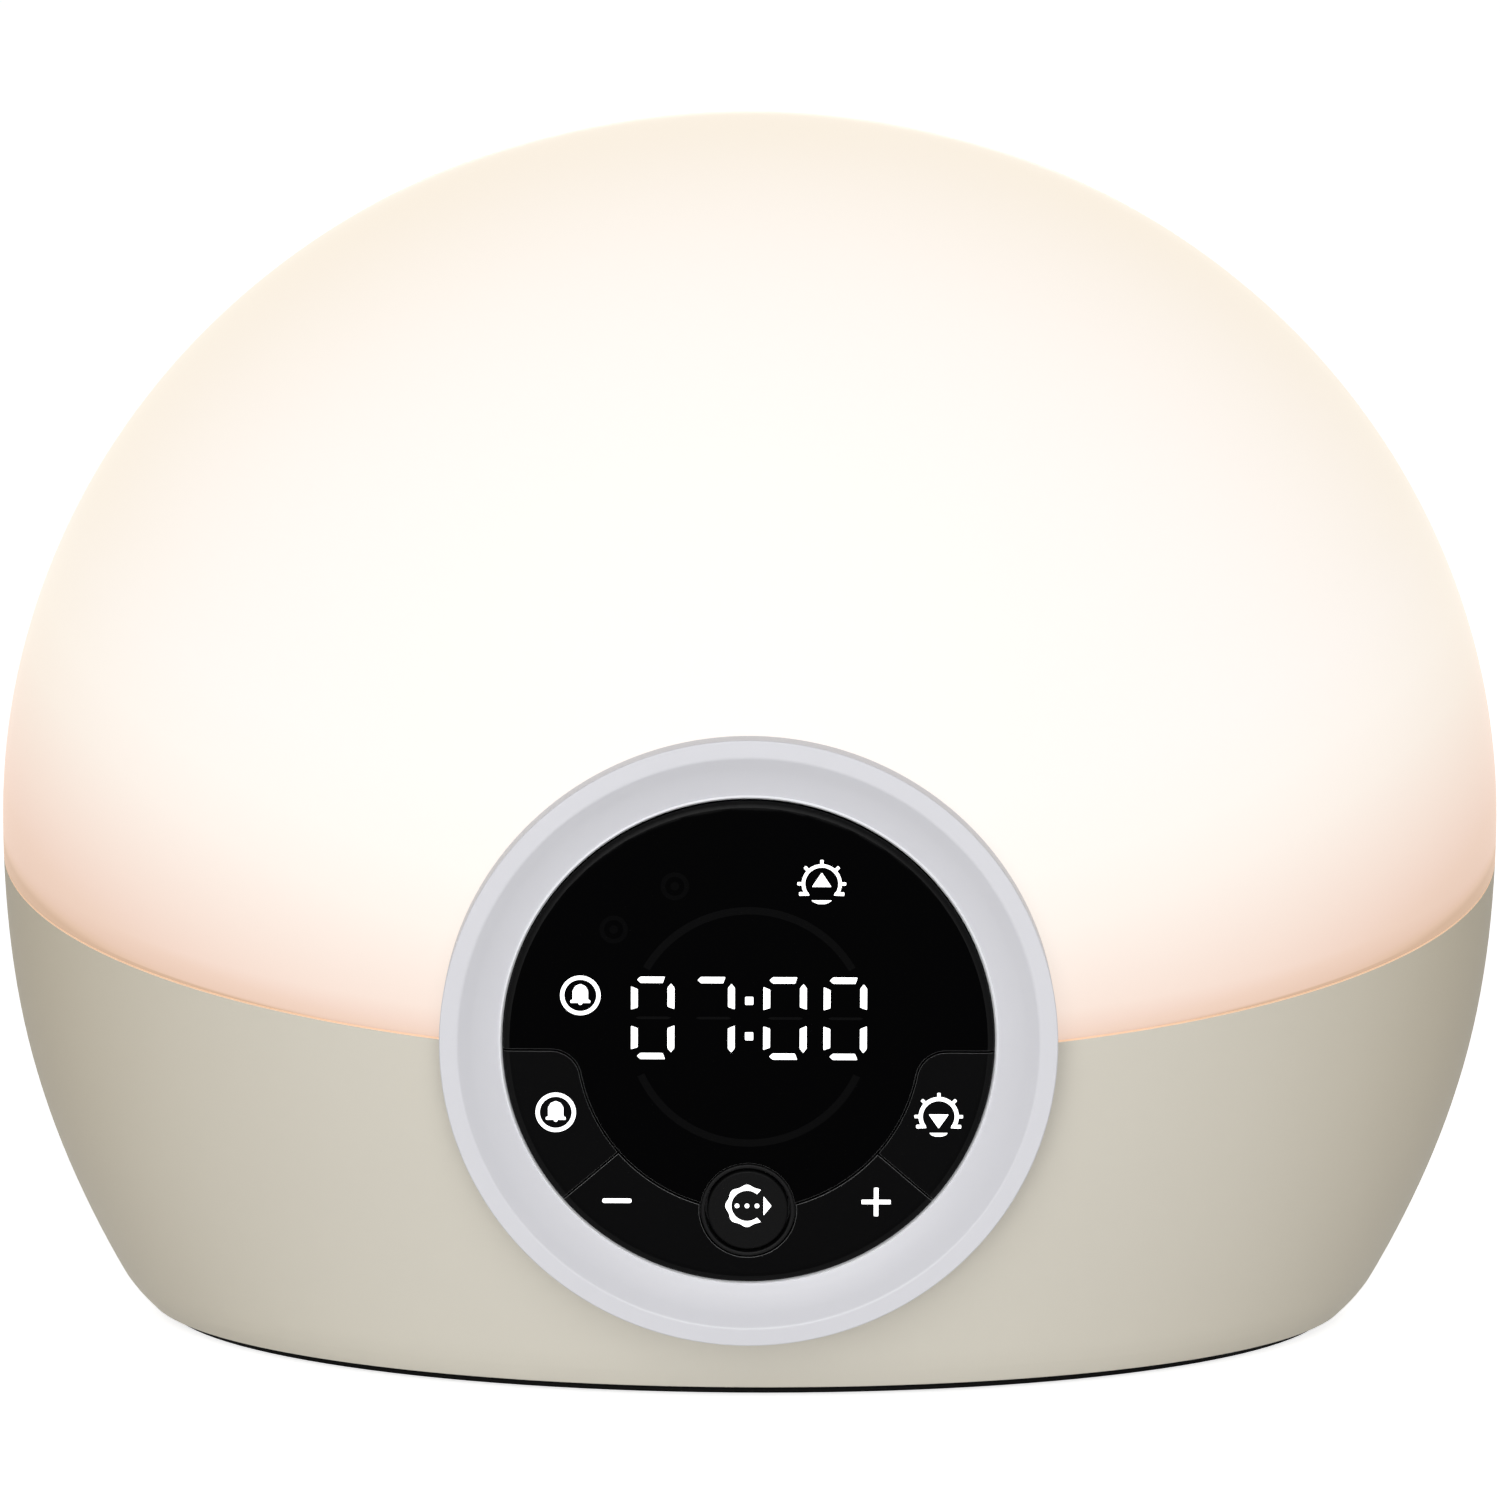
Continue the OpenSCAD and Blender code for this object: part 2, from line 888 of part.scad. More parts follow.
module display_module() {
    color("#2c2c2c")
        difference() {
            behind_face(module_front, board_w)
                translate([0, display_v])
                    square([module_x, module_v], center = true);
            behind_face(module_front - 1, module_front + segment_sink) {
                digit_places() digit();
                colon();
            }
        }
}

module display_segments() {
    color("white")
        behind_face(module_front, module_front + segment_sink) {
            digit_places() digit();
            colon();
        }
}

module icon_light_guides() {
    color("whitesmoke")
        for (p = icons_at)
            peg(p, guide_r, module_front, guide_back);
}

module indicator_leds() {
    color("gold")
        for (p = icons_at)
            behind_face(guide_back + 0.1, board_w)
                translate(p)
                    square([2.8, 2.2], center = true);
}

module pod_cover() {
    color("whitesmoke")
        difference() {
            union() {
                difference() {
                    peg([0, 0], frame_r, frame_back + 0.2, cover_back);
                    peg([0, 0], frame_r - cover_rim_t, frame_back, cover_w);
                }
                for (p = posts_at)
                    peg(p, post_r, board_back + 0.2, cover_w + fuse);
            }
            for (p = posts_at)
                peg(p, pod_screw_r + post_play, board_back, cover_back + 1);
            behind_face(cover_w - 1, cover_back + 1)
                translate([ribbon_x, ribbon_v])
                    square([ribbon_w + 2, 3 * ribbon_t + socket_t], center = true);
        }
}

module pod_screws() {
    color("silver")
        for (p = posts_at) {
            peg(p, pod_head_r, cover_back, cover_back + pod_head_h);
            peg(p, pod_screw_r, cover_back - pod_screw_l, cover_back + fuse);
        }
}

module ribbon_cable() {
    start_y = face_y + board_back + socket_h - ribbon_grip;
    turn_y = ribbon_y - ribbon_bend;
    run_z = face_z + ribbon_v;
    end_z = main_top + socket_h - ribbon_grip;
    color("#b9b9bd")
        translate([ribbon_x - ribbon_w / 2, 0, 0])
            rotate([90, 0, 90])
                linear_extrude(ribbon_w) {
                    translate([start_y, run_z - ribbon_t / 2])
                        square([turn_y - start_y, ribbon_t]);
                    translate([turn_y, run_z - ribbon_bend])
                        intersection() {
                            difference() {
                                circle(r = ribbon_bend + ribbon_t / 2);
                                circle(r = ribbon_bend - ribbon_t / 2);
                            }
                            square(2 * ribbon_bend);
                        }
                    translate([ribbon_y - ribbon_t / 2, end_z])
                        square([ribbon_t, run_z - ribbon_bend - end_z]);
                }
}

module ribbon_sockets() {
    slot = ribbon_t + 0.2;
    color("#efe9d8") {
        difference() {
            behind_face(board_back, board_back + socket_h)
                translate([ribbon_x, ribbon_v])
                    square([socket_w, socket_t], center = true);
            behind_face(board_back + socket_h - ribbon_grip - 0.1, board_back + socket_h + 1)
                translate([ribbon_x, ribbon_v])
                    square([ribbon_w + 0.2, slot], center = true);
        }
        difference() {
            translate([ribbon_x - socket_w / 2, ribbon_y - socket_t / 2, main_top])
                cube([socket_w, socket_t, socket_h]);
            translate([
                ribbon_x - ribbon_w / 2 - 0.1,
                ribbon_y - slot / 2,
                main_top + socket_h - ribbon_grip - 0.1
            ])
                cube([ribbon_w + 0.2, slot, socket_h]);
        }
    }
}

// ---------- Lamp chamber ----------

module lead_holes(r) {
    for (k = [-0.5, 0.5])
        translate([lead_at[0] + k * lead_pitch, lead_at[1], main_top + lead_socket[2]])
            cylinder(r = r, h = big);
}

module reflector_tray() {
    color("white")
        difference() {
            intersection() {
                form(tray_edge);
                seam_slab(tray_under, tray_top);
            }
            pod_room();
            for (a = tray_screw_angles)
                on_seam((half_w - tray_screw_in) * cos(a), (half_d - tray_screw_in) * sin(a), tray_hole_low)
                    cylinder(r = tray_screw_r + plate_clear, h = tray_hole_l);
            lead_holes(2 * lead_r);
        }
}

module tray_screws() {
    color("silver")
        for (a = tray_screw_angles)
            on_seam((half_w - tray_screw_in) * cos(a), (half_d - tray_screw_in) * sin(a), tray_top) {
                cylinder(r = tray_head_r, h = tray_head_h);
                translate([0, 0, -tray_screw_l])
                    cylinder(r = tray_screw_r, h = tray_screw_l + fuse);
            }
}

module heat_spreader() {
    color("silver")
        difference() {
            on_seam(-lamp_x / 2 - spreader_rim, lamp_mid_y - lamp_y / 2 - spreader_rim, tray_top)
                cube([lamp_x + 2 * spreader_rim, lamp_y + 2 * spreader_rim, spreader_t]);
            lead_holes(2 * lead_r);
        }
}

module lamp_board() {
    color("white")
        difference() {
            on_seam(-lamp_x / 2, lamp_mid_y - lamp_y / 2, tray_top + spreader_t)
                cube([lamp_x, lamp_y, lamp_board_t]);
            lead_holes(lead_r + 0.1);
        }
}

module lamp_chips() {
    step_x = lamp_x / lamp_cols;
    step_y = lamp_y / lamp_rows;
    color("khaki")
        for (i = [0:lamp_cols - 1])
            for (j = [0:lamp_rows - 1])
                on_seam(
                    (i - (lamp_cols - 1) / 2) * step_x - lamp_side / 2,
                    lamp_mid_y + (j - (lamp_rows - 1) / 2) * step_y - lamp_side / 2,
                    lamp_deck)
                    cube([lamp_side, lamp_side, lamp_h]);
}

module lamp_leads() {
    color("firebrick")
        intersection() {
            lead_holes(lead_r);
            seam_slab(-big, lamp_deck);
        }
}

// ---------- Base electronics ----------

module main_board() {
    color("#1f5a3a")
        translate([main_left, main_front, main_z])
            cube([board_x, board_y, main_t]);
}

module main_board_parts() {
    // Each row is a part's place as shares of the board, then its size.
    chips = [
        [0.32, 0.35, 14, 14, 1.6],
        [0.7, 0.27, 8, 10, 1.8],
        [0.56, 0.62, 12, 12, 6],
        [0.18, 0.16, 6, 6, 2.4]
    ];
    cans_at = [[0.35, 0.76], [0.5, 0.81], [0.65, 0.89]];
    color("#2b2b2d") {
        for (c = chips)
            translate([
                main_left + c[0] * board_x - c[2] / 2,
                main_front + c[1] * board_y - c[3] / 2,
                main_top
            ])
                cube([c[2], c[3], c[4]]);
        translate([lead_at[0] - lead_socket[0] / 2, lead_at[1] - lead_socket[1] / 2, main_top])
            cube(lead_socket);
        translate([main_right - speaker_lead_in - lead_socket[1], -lead_socket[0] / 2, main_top])
            cube([lead_socket[1], lead_socket[0], lead_socket[2]]);
    }
    color("steelblue")
        for (p = cans_at)
            translate([main_left + p[0] * board_x, main_front + p[1] * board_y, main_top])
                cylinder(r = can_r, h = can_h);
}

// Depth of the housing's inner face behind the power inlet.
inlet_wall_y = (half_d - base_wall) * sqrt(
    1 - pow((inlet_x + inlet_side / 2) / (half_w - base_wall), 2)
    - pow((girth_z - inlet_z + inlet_side / 2) / (base_taper - base_wall), 2));
inlet_y = inlet_wall_y - 0.2;

module inlet_bore(r, l) {
    translate([-inlet_x, inlet_y + nose_l - l, inlet_z])
        rotate([-90, 0, 0])
            cylinder(r = r, h = l + 1);
}

module power_inlet() {
    color("#161616")
        difference() {
            union() {
                translate([-inlet_x - inlet_side / 2, inlet_y - inlet_l, main_top])
                    cube([inlet_side, inlet_l, inlet_side]);
                translate([-inlet_x, inlet_y - fuse, inlet_z])
                    rotate([-90, 0, 0])
                        cylinder(r = inlet_nose_r, h = nose_l + fuse);
            }
            inlet_bore(inlet_r, inlet_depth);
        }
}

module inlet_pin() {
    color("silver")
        translate([-inlet_x, inlet_y + nose_l - inlet_depth, inlet_z])
            rotate([-90, 0, 0])
                cylinder(r = inlet_pin_r, h = inlet_depth - 1.5);
}

module on_speaker(z) {
    translate([speaker_x, 0, plate_top + z])
        children();
}

module speaker_frame() {
    color("#4a4a4d")
        on_speaker(0)
            difference() {
                union() {
                    cylinder(r = speaker_r, h = speaker_rim_h);
                    translate([0, 0, speaker_rim_h - fuse])
                        cylinder(r1 = speaker_r - 1, r2 = magnet_r + 1, h = basket_h + fuse);
                }
                translate([0, 0, -1])
                    cylinder(r = speaker_r - 2, h = speaker_rim_h + 1);
                translate([0, 0, speaker_rim_h - 0.01])
                    cylinder(r1 = speaker_r - 2, r2 = magnet_r, h = basket_h + 0.02);
            }
}

module speaker_cone() {
    color("#222222")
        on_speaker(0)
            rotate_extrude()
                polygon([
                    [0, 4.2],
                    [4, 4.6],
                    [speaker_r - 3.2, 1],
                    [speaker_r - 2.2, 1],
                    [speaker_r - 2.2, 1.6],
                    [speaker_r - 3.2, 1.6],
                    [4, 5.2],
                    [0, 4.8]
                ]);
}

module speaker_magnet() {
    color("dimgray")
        on_speaker(speaker_rim_h + basket_h)
            cylinder(r = magnet_r, h = magnet_h);
}

module speaker_leads() {
    color("black")
        for (k = [-0.5, 0.5])
            translate([main_right - speaker_lead_in, k * lead_pitch, main_top + lead_socket[2] / 2])
                rotate([0, 90, 0])
                    cylinder(r = lead_r, h = speaker_x - magnet_r - main_right + speaker_lead_in);
}

diffuser_dome();
base_housing();
base_plate();
rubber_feet();
base_screws();
bezel_ring();
lens_panel();
menu_collar();
alarm_key();
light_key();
menu_key();
minus_plus_rocker();
alarm_plunger();
light_plunger();
menu_plunger();
rocker_plungers();
key_frame();
control_board();
tact_switches();
display_module();
display_segments();
icon_light_guides();
indicator_leds();
pod_cover();
pod_screws();
ribbon_cable();
ribbon_sockets();
reflector_tray();
tray_screws();
heat_spreader();
lamp_board();
lamp_chips();
lamp_leads();
main_board();
main_board_parts();
power_inlet();
inlet_pin();
speaker_frame();
speaker_cone();
speaker_magnet();
speaker_leads();
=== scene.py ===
import math

import bmesh
import bpy
from mathutils import Matrix, Vector


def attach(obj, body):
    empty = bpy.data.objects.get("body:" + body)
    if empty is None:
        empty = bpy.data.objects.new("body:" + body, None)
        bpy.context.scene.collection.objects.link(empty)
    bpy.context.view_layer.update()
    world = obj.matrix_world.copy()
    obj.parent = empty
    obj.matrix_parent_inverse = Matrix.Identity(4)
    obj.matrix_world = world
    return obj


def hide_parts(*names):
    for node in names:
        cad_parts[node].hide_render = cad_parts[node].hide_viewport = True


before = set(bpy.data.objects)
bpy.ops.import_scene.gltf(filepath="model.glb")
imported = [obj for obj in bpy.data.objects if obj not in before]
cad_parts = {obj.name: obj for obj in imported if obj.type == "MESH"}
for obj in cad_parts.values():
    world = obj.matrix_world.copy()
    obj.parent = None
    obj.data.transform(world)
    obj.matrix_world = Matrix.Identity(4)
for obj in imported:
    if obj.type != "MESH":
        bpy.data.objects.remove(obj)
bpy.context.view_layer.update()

# Base plate: an injection-moulded black plate, screwed up into the housing from below.
# Its edge stands back under the housing's rim, most at the sides, and shows as a dark line.
MM = 0.001


def display_colour(red, green, blue):
    """A colour as a display shows it, 0 to 255, made linear."""
    steps = [value / 255 for value in (red, green, blue)]
    return [s / 12.92 if s <= 0.04045 else ((s + 0.055) / 1.055) ** 2.4 for s in steps] + [1.0]


def effect_group(name, inputs, outputs):
    """An empty shader node group with its named sockets, and its two end nodes."""
    group = bpy.data.node_groups.new(name, "ShaderNodeTree")
    for way, sockets in (("INPUT", inputs), ("OUTPUT", outputs)):
        for socket, kind in sockets:
            group.interface.new_socket(name=socket, in_out=way, socket_type="NodeSocket" + kind)
    return group, group.nodes.new("NodeGroupInput"), group.nodes.new("NodeGroupOutput")


def moulded_surface():
    """Slow clouding of the tone and fine spark-eroded grain of moulded plastic."""
    group, given, made = effect_group(
        "moulded surface",
        (("Light Tone", "Color"), ("Dark Tone", "Color"), ("Cloud Scale", "Float"),
         ("Grain Scale", "Float"), ("Least Roughness", "Float"), ("Most Roughness", "Float")),
        (("Tone", "Color"), ("Roughness", "Float"), ("Height", "Float")),
    )
    nodes, links = group.nodes, group.links
    place = nodes.new("ShaderNodeTexCoord")
    cloud = nodes.new("ShaderNodeTexNoise")
    cloud.inputs["Detail"].default_value = 3.0
    grain = nodes.new("ShaderNodeTexNoise")
    grain.inputs["Detail"].default_value = 2.0
    tone = nodes.new("ShaderNodeMix")
    tone.data_type = "RGBA"
    rough = nodes.new("ShaderNodeMapRange")
    for texture, scale in ((cloud, "Cloud Scale"), (grain, "Grain Scale")):
        links.new(place.outputs["Object"], texture.inputs["Vector"])
        links.new(given.outputs[scale], texture.inputs["Scale"])
    links.new(cloud.outputs["Fac"], tone.inputs["Factor"])
    links.new(given.outputs["Light Tone"], tone.inputs["A"])
    links.new(given.outputs["Dark Tone"], tone.inputs["B"])
    links.new(grain.outputs["Fac"], rough.inputs["Value"])
    links.new(given.outputs["Least Roughness"], rough.inputs["To Min"])
    links.new(given.outputs["Most Roughness"], rough.inputs["To Max"])
    links.new(tone.outputs["Result"], made.inputs["Tone"])
    links.new(rough.outputs["Result"], made.inputs["Roughness"])
    links.new(grain.outputs["Fac"], made.inputs["Height"])
    return group


MOULDED = moulded_surface()


def moulded(name, light, dark, rough, grain=3200, depth=0.012, cloud=55, specular=0.5):
    """A moulded finish: two tones, a roughness range, and grain depth in millimetres."""
    material = bpy.data.materials.new(name)
    material.use_nodes = True
    nodes, links = material.node_tree.nodes, material.node_tree.links
    shader = nodes["Principled BSDF"]
    shader.inputs["Specular IOR Level"].default_value = specular
    surface = nodes.new("ShaderNodeGroup")
    surface.node_tree = MOULDED
    values = {"Light Tone": light, "Dark Tone": dark, "Cloud Scale": cloud,
              "Grain Scale": grain, "Least Roughness": rough[0], "Most Roughness": rough[1]}
    for socket, value in values.items():
        surface.inputs[socket].default_value = value
    bump = nodes.new("ShaderNodeBump")
    bump.inputs["Strength"].default_value = 0.6
    bump.inputs["Distance"].default_value = depth * MM
    links.new(surface.outputs["Tone"], shader.inputs["Base Color"])
    links.new(surface.outputs["Roughness"], shader.inputs["Roughness"])
    links.new(surface.outputs["Height"], bump.inputs["Height"])
    links.new(bump.outputs["Normal"], shader.inputs["Normal"])
    return material


def dress(material, *nodes):
    """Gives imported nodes, whose shape stays, a better finish."""
    for node in nodes:
        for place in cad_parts[node].material_slots:
            place.material = material


def as_object(bm, name):
    mesh = bpy.data.meshes.new(name)
    bm.to_mesh(mesh)
    bm.free()
    made = bpy.data.objects.new(name, mesh)
    bpy.context.scene.collection.objects.link(made)
    return made


def smoothed(part, angle=30):
    """Smooth shading that keeps the real edges crisp."""
    part.data.shade_smooth()
    part.data.set_sharp_from_angle(angle=math.radians(angle))
    weighted = part.modifiers.new("even shading", "WEIGHTED_NORMAL")
    weighted.keep_sharp = True
    weighted.weight = 100


def fit(part, materials, body, slot, *nodes):
    """Finishes a piece: its materials, the body it rides on, and the nodes it stands for."""
    for material in materials:
        part.data.materials.append(material)
    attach(part, body)
    if nodes:
        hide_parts(*nodes)
    return part


PLATE_W, PLATE_D = 80.12 * MM, 47.31 * MM
FLANGE_FROM = 0.995
SIDE_DRAW = 0.982
BLACK_PLATE = moulded("black plate plastic", display_colour(9, 9, 8),
                      display_colour(5, 5, 5), (0.5, 0.7), specular=0.05)
plate = bmesh.new()
plate.from_mesh(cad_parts["base_plate"].data)
bmesh.ops.remove_doubles(plate, verts=plate.verts, dist=1e-6)
flange = [v for v in plate.verts
          if math.hypot(v.co.x / PLATE_W, v.co.y / PLATE_D) > FLANGE_FROM]
bmesh.ops.scale(plate, vec=(SIDE_DRAW, 1, 1), verts=flange)
plate = as_object(plate, "bottom_plate")
smoothed(plate)
fit(plate, (BLACK_PLATE,), "housing", "dark_base", "base_plate")

# Rubber feet: four turned soles of black rubber, pressed into shallow round seats under
# the plate. The rubber is duller than the plate and has a coarser skin.
FOOT_RUBBER = moulded("foot rubber", display_colour(30, 30, 30), display_colour(21, 21, 21),
                      (0.75, 0.95), grain=1500, depth=0.03, specular=0.25)
dress(FOOT_RUBBER, "rubber_feet")

# Main board: green solder mask with copper tracks under it, on posts of the plate, with
# its chips, coil and lead sockets, and the ribbon that climbs to the control board.


def board_surface():
    """Solder mask: copper tracks run in squares and show lighter through the green."""
    group, given, made = effect_group(
        "board surface", (("Mask", "Color"), ("Track", "Color"), ("Scale", "Float")),
        (("Tone", "Color"), ("Height", "Float")),
    )
    nodes, links = group.nodes, group.links
    place = nodes.new("ShaderNodeTexCoord")
    tracks = nodes.new("ShaderNodeTexVoronoi")
    tracks.distance, tracks.feature = "CHEBYCHEV", "DISTANCE_TO_EDGE"
    edge = nodes.new("ShaderNodeMapRange")
    edge.inputs["From Max"].default_value = 0.08
    tone = nodes.new("ShaderNodeMix")
    tone.data_type = "RGBA"
    links.new(place.outputs["Object"], tracks.inputs["Vector"])
    links.new(given.outputs["Scale"], tracks.inputs["Scale"])
    links.new(tracks.outputs["Distance"], edge.inputs["Value"])
    links.new(edge.outputs["Result"], tone.inputs["Factor"])
    links.new(given.outputs["Track"], tone.inputs["A"])
    links.new(given.outputs["Mask"], tone.inputs["B"])
    links.new(tone.outputs["Result"], made.inputs["Tone"])
    links.new(edge.outputs["Result"], made.inputs["Height"])
    return group


BOARD = board_surface()


def solder_mask(name, mask, track):
    material = bpy.data.materials.new(name)
    material.use_nodes = True
    nodes, links = material.node_tree.nodes, material.node_tree.links
    shader = nodes["Principled BSDF"]
    shader.inputs["Roughness"].default_value = 0.35
    surface = nodes.new("ShaderNodeGroup")
    surface.node_tree = BOARD
    surface.inputs["Mask"].default_value = mask
    surface.inputs["Track"].default_value = track
    surface.inputs["Scale"].default_value = 260
    bump = nodes.new("ShaderNodeBump")
    bump.invert = True
    bump.inputs["Distance"].default_value = 0.03 * MM
    links.new(surface.outputs["Tone"], shader.inputs["Base Color"])
    links.new(surface.outputs["Height"], bump.inputs["Height"])
    links.new(bump.outputs["Normal"], shader.inputs["Normal"])
    return material


GREEN_BOARD = solder_mask("green solder mask", display_colour(28, 96, 58),
                          display_colour(52, 132, 78))
CHIP_BLACK = moulded("chip and socket plastic", display_colour(52, 52, 55),
                     display_colour(40, 40, 43), (0.45, 0.6))
SOCKET_CREAM = moulded("socket nylon", display_colour(232, 226, 208),
                       display_colour(222, 214, 194), (0.4, 0.55))
RIBBON_GREY = moulded("ribbon insulation", display_colour(188, 188, 193),
                      display_colour(172, 172, 178), (0.4, 0.5), grain=900)
dress(GREEN_BOARD, "main_board", "control_board")
dress(CHIP_BLACK, "main_board_parts", "tact_switches", "indicator_leds")
dress(SOCKET_CREAM, "ribbon_sockets")
dress(RIBBON_GREY, "ribbon_cable")

# Power inlet: a black moulded barrel socket, soldered to the main board behind a round
# hole at the back of the housing, with a plated centre pin.


def metal(name, light, dark, rough, streak=(400, 400, 400)):
    """Plated or rolled metal: fine streaks in tone and shine along one direction."""
    material = bpy.data.materials.new(name)
    material.use_nodes = True
    nodes, links = material.node_tree.nodes, material.node_tree.links
    shader = nodes["Principled BSDF"]
    shader.inputs["Metallic"].default_value = 1.0
    place = nodes.new("ShaderNodeTexCoord")
    stretch = nodes.new("ShaderNodeMapping")
    stretch.inputs["Scale"].default_value = streak
    streaks = nodes.new("ShaderNodeTexNoise")
    streaks.inputs["Scale"].default_value = 1.0
    streaks.inputs["Detail"].default_value = 4.0
    tone = nodes.new("ShaderNodeMix")
    tone.data_type = "RGBA"
    tone.inputs["A"].default_value, tone.inputs["B"].default_value = light, dark
    shine = nodes.new("ShaderNodeMapRange")
    shine.inputs["To Min"].default_value, shine.inputs["To Max"].default_value = rough
    links.new(place.outputs["Object"], stretch.inputs["Vector"])
    links.new(stretch.outputs["Vector"], streaks.inputs["Vector"])
    links.new(streaks.outputs["Fac"], tone.inputs["Factor"])
    links.new(streaks.outputs["Fac"], shine.inputs["Value"])
    links.new(tone.outputs["Result"], shader.inputs["Base Color"])
    links.new(shine.outputs["Result"], shader.inputs["Roughness"])
    return material


ZINC = metal("zinc-plated steel", display_colour(196, 198, 202),
             display_colour(170, 172, 178), (0.25, 0.45))
INLET_BLACK = moulded("inlet plastic", display_colour(27, 27, 27),
                      display_colour(20, 20, 20), (0.4, 0.55))
dress(INLET_BLACK, "power_inlet")
dress(ZINC, "inlet_pin")

# Loudspeaker: a pressed steel basket with a paper cone and a ferrite magnet, over the
# slots of the base plate, with its two leads from the main board.
BASKET_STEEL = metal("pressed basket steel", display_colour(132, 132, 136),
                     display_colour(110, 110, 115), (0.35, 0.55))
CONE_PAPER = moulded("cone paper", display_colour(44, 42, 40), display_colour(32, 31, 29),
                     (0.8, 0.95), grain=900, depth=0.05, specular=0.2)
FERRITE = moulded("ferrite", display_colour(72, 72, 74), display_colour(55, 55, 58),
                  (0.5, 0.7), grain=700, depth=0.03)
BLACK_WIRE = moulded("black wire insulation", display_colour(30, 30, 30),
                     display_colour(22, 22, 22), (0.4, 0.5))
dress(BASKET_STEEL, "speaker_frame")
dress(CONE_PAPER, "speaker_cone")
dress(FERRITE, "speaker_magnet")
dress(BLACK_WIRE, "speaker_leads")

# Base housing: one stone-coloured moulding that tapers to the foot. Its top edge is cut
# by the seam, which leans up towards the back, and its front is bored for the bezel.
HALF_W, HALF_D = 100 * MM, 60 * MM
GIRTH_Z = 67.2 * MM
DOME_RISE = 95.2 * MM
TAPER_DROP = 114.5 * MM
WALL = 2.4 * MM
RIM_Z, RIM_ROUND = 1.35 * MM, 2.4 * MM
SWELL = 0.0045
HEEL_H, HEEL_DRAW, HEEL_CUTS = 5 * MM, 0.015, 4
SEAM_Z = 63.9 * MM
SEAM_TILT = math.radians(15.5)
SEAM_GAP = 0.25 * MM
SEAM_UP = Vector((0, -math.sin(SEAM_TILT), math.cos(SEAM_TILT)))
FACE_Y, FACE_Z = -62 * MM, 49.6 * MM
BORE_R = 38.1 * MM
RING_R = 39.15 * MM
RECESS_GAP, RECESS_D = 0.2 * MM, 1.4 * MM
INLET_X, INLET_Z, INLET_HOLE_R = -34 * MM, 17.4 * MM, 4.5 * MM
BORE_REACH, INLET_REACH = (-80 * MM, -30 * MM), (30 * MM, 70 * MM)
SHARP_RIM, OUTSIDE = math.radians(35), math.sqrt(0.655)
ALONG_SEAM, TOUCHING = 0.999, 0.01 * MM
# Painted shade: the stone's tone darkens and warms towards the left and right sides, where the
# light falls off.
STONE_SIDE_SHADE, SIDE_SHADE_POWER = (0.81, 0.75, 0.64, 1), 3.2


def body_form(inset):
    """The closed outer form, drawn in by inset: a dome above, a taper below."""
    bm = bmesh.new()
    bmesh.ops.create_uvsphere(bm, u_segments=288, v_segments=144, radius=1.0)
    above = [v for v in bm.verts if v.co.z >= 0]
    below = [v for v in bm.verts if v.co.z < 0]
    flat = (HALF_W - inset, HALF_D - inset)
    bmesh.ops.scale(bm, vec=(*flat, DOME_RISE - inset), verts=above)
    bmesh.ops.scale(bm, vec=(*flat, TAPER_DROP - inset), verts=below)
    for v in below:
        swell = 1 + SWELL * math.sin(math.pi * min(1.0, -v.co.z / (GIRTH_Z - RIM_Z))) ** 2
        v.co.x, v.co.y = v.co.x * swell, v.co.y * swell
    bmesh.ops.translate(bm, vec=(0, 0, GIRTH_Z), verts=bm.verts)
    return bm


def keep_side(bm, point, away):
    """Cuts with a plane and drops what lies on the side that away points to."""
    geometry = bm.verts[:] + bm.edges[:] + bm.faces[:]
    bmesh.ops.bisect_plane(bm, geom=geometry, dist=1e-7, plane_co=point, plane_no=away,
                           clear_outer=True)


def walled_form(outer, inner, cuts):
    """Two skins cut by the same planes, with flat rims between them along each plane."""
    shell = bmesh.new()
    for inset in (outer, inner):
        skin = body_form(inset)
        for point, away in cuts:
            keep_side(skin, point, away)
        if inset == inner:
            bmesh.ops.reverse_faces(skin, faces=skin.faces)
        spare = bpy.data.meshes.new("skin")
        skin.to_mesh(spare)
        skin.free()
        shell.from_mesh(spare)
        bpy.data.meshes.remove(spare)
    for point, away in cuts:
        rim = [e for e in shell.edges if e.is_boundary
               and all(abs((v.co - point).dot(away)) < 1e-5 for v in e.verts)]
        bmesh.ops.bridge_loops(shell, edges=rim)
    bmesh.ops.recalc_face_normals(shell, faces=shell.faces)
    return shell


def carve(part, tool, operation="DIFFERENCE"):
    """Cuts, joins or trims a solid with another, which is used up."""
    step = part.modifiers.new("carve", "BOOLEAN")
    step.object, step.operation, step.solver = tool, operation, "EXACT"
    shaped = part.evaluated_get(bpy.context.evaluated_depsgraph_get())
    result = bpy.data.meshes.new_from_object(shaped)
    part.modifiers.clear()
    before, part.data = part.data, result
    bpy.data.meshes.remove(before)
    bpy.data.objects.remove(tool)


def rod(radius, start, end, axis, segments=256):
    """A round cutter along Y or Z, from start to end."""
    bm = bmesh.new()
    bmesh.ops.create_cone(bm, cap_ends=True, segments=segments, radius1=radius,
                          radius2=radius, depth=end - start)
    bmesh.ops.translate(bm, vec=(0, 0, (start + end) / 2), verts=bm.verts)
    if axis == "Y":
        bmesh.ops.rotate(bm, cent=(0, 0, 0), verts=bm.verts,
                         matrix=Matrix.Rotation(math.radians(-90), 3, "X"))
    return bm


def shift(bm, x, y, z):
    bmesh.ops.translate(bm, vec=(x, y, z), verts=bm.verts)
    return bm


def face_bore(radius):
    return as_object(shift(rod(radius, *BORE_REACH, "Y"), 0, 0, FACE_Z), "bore")


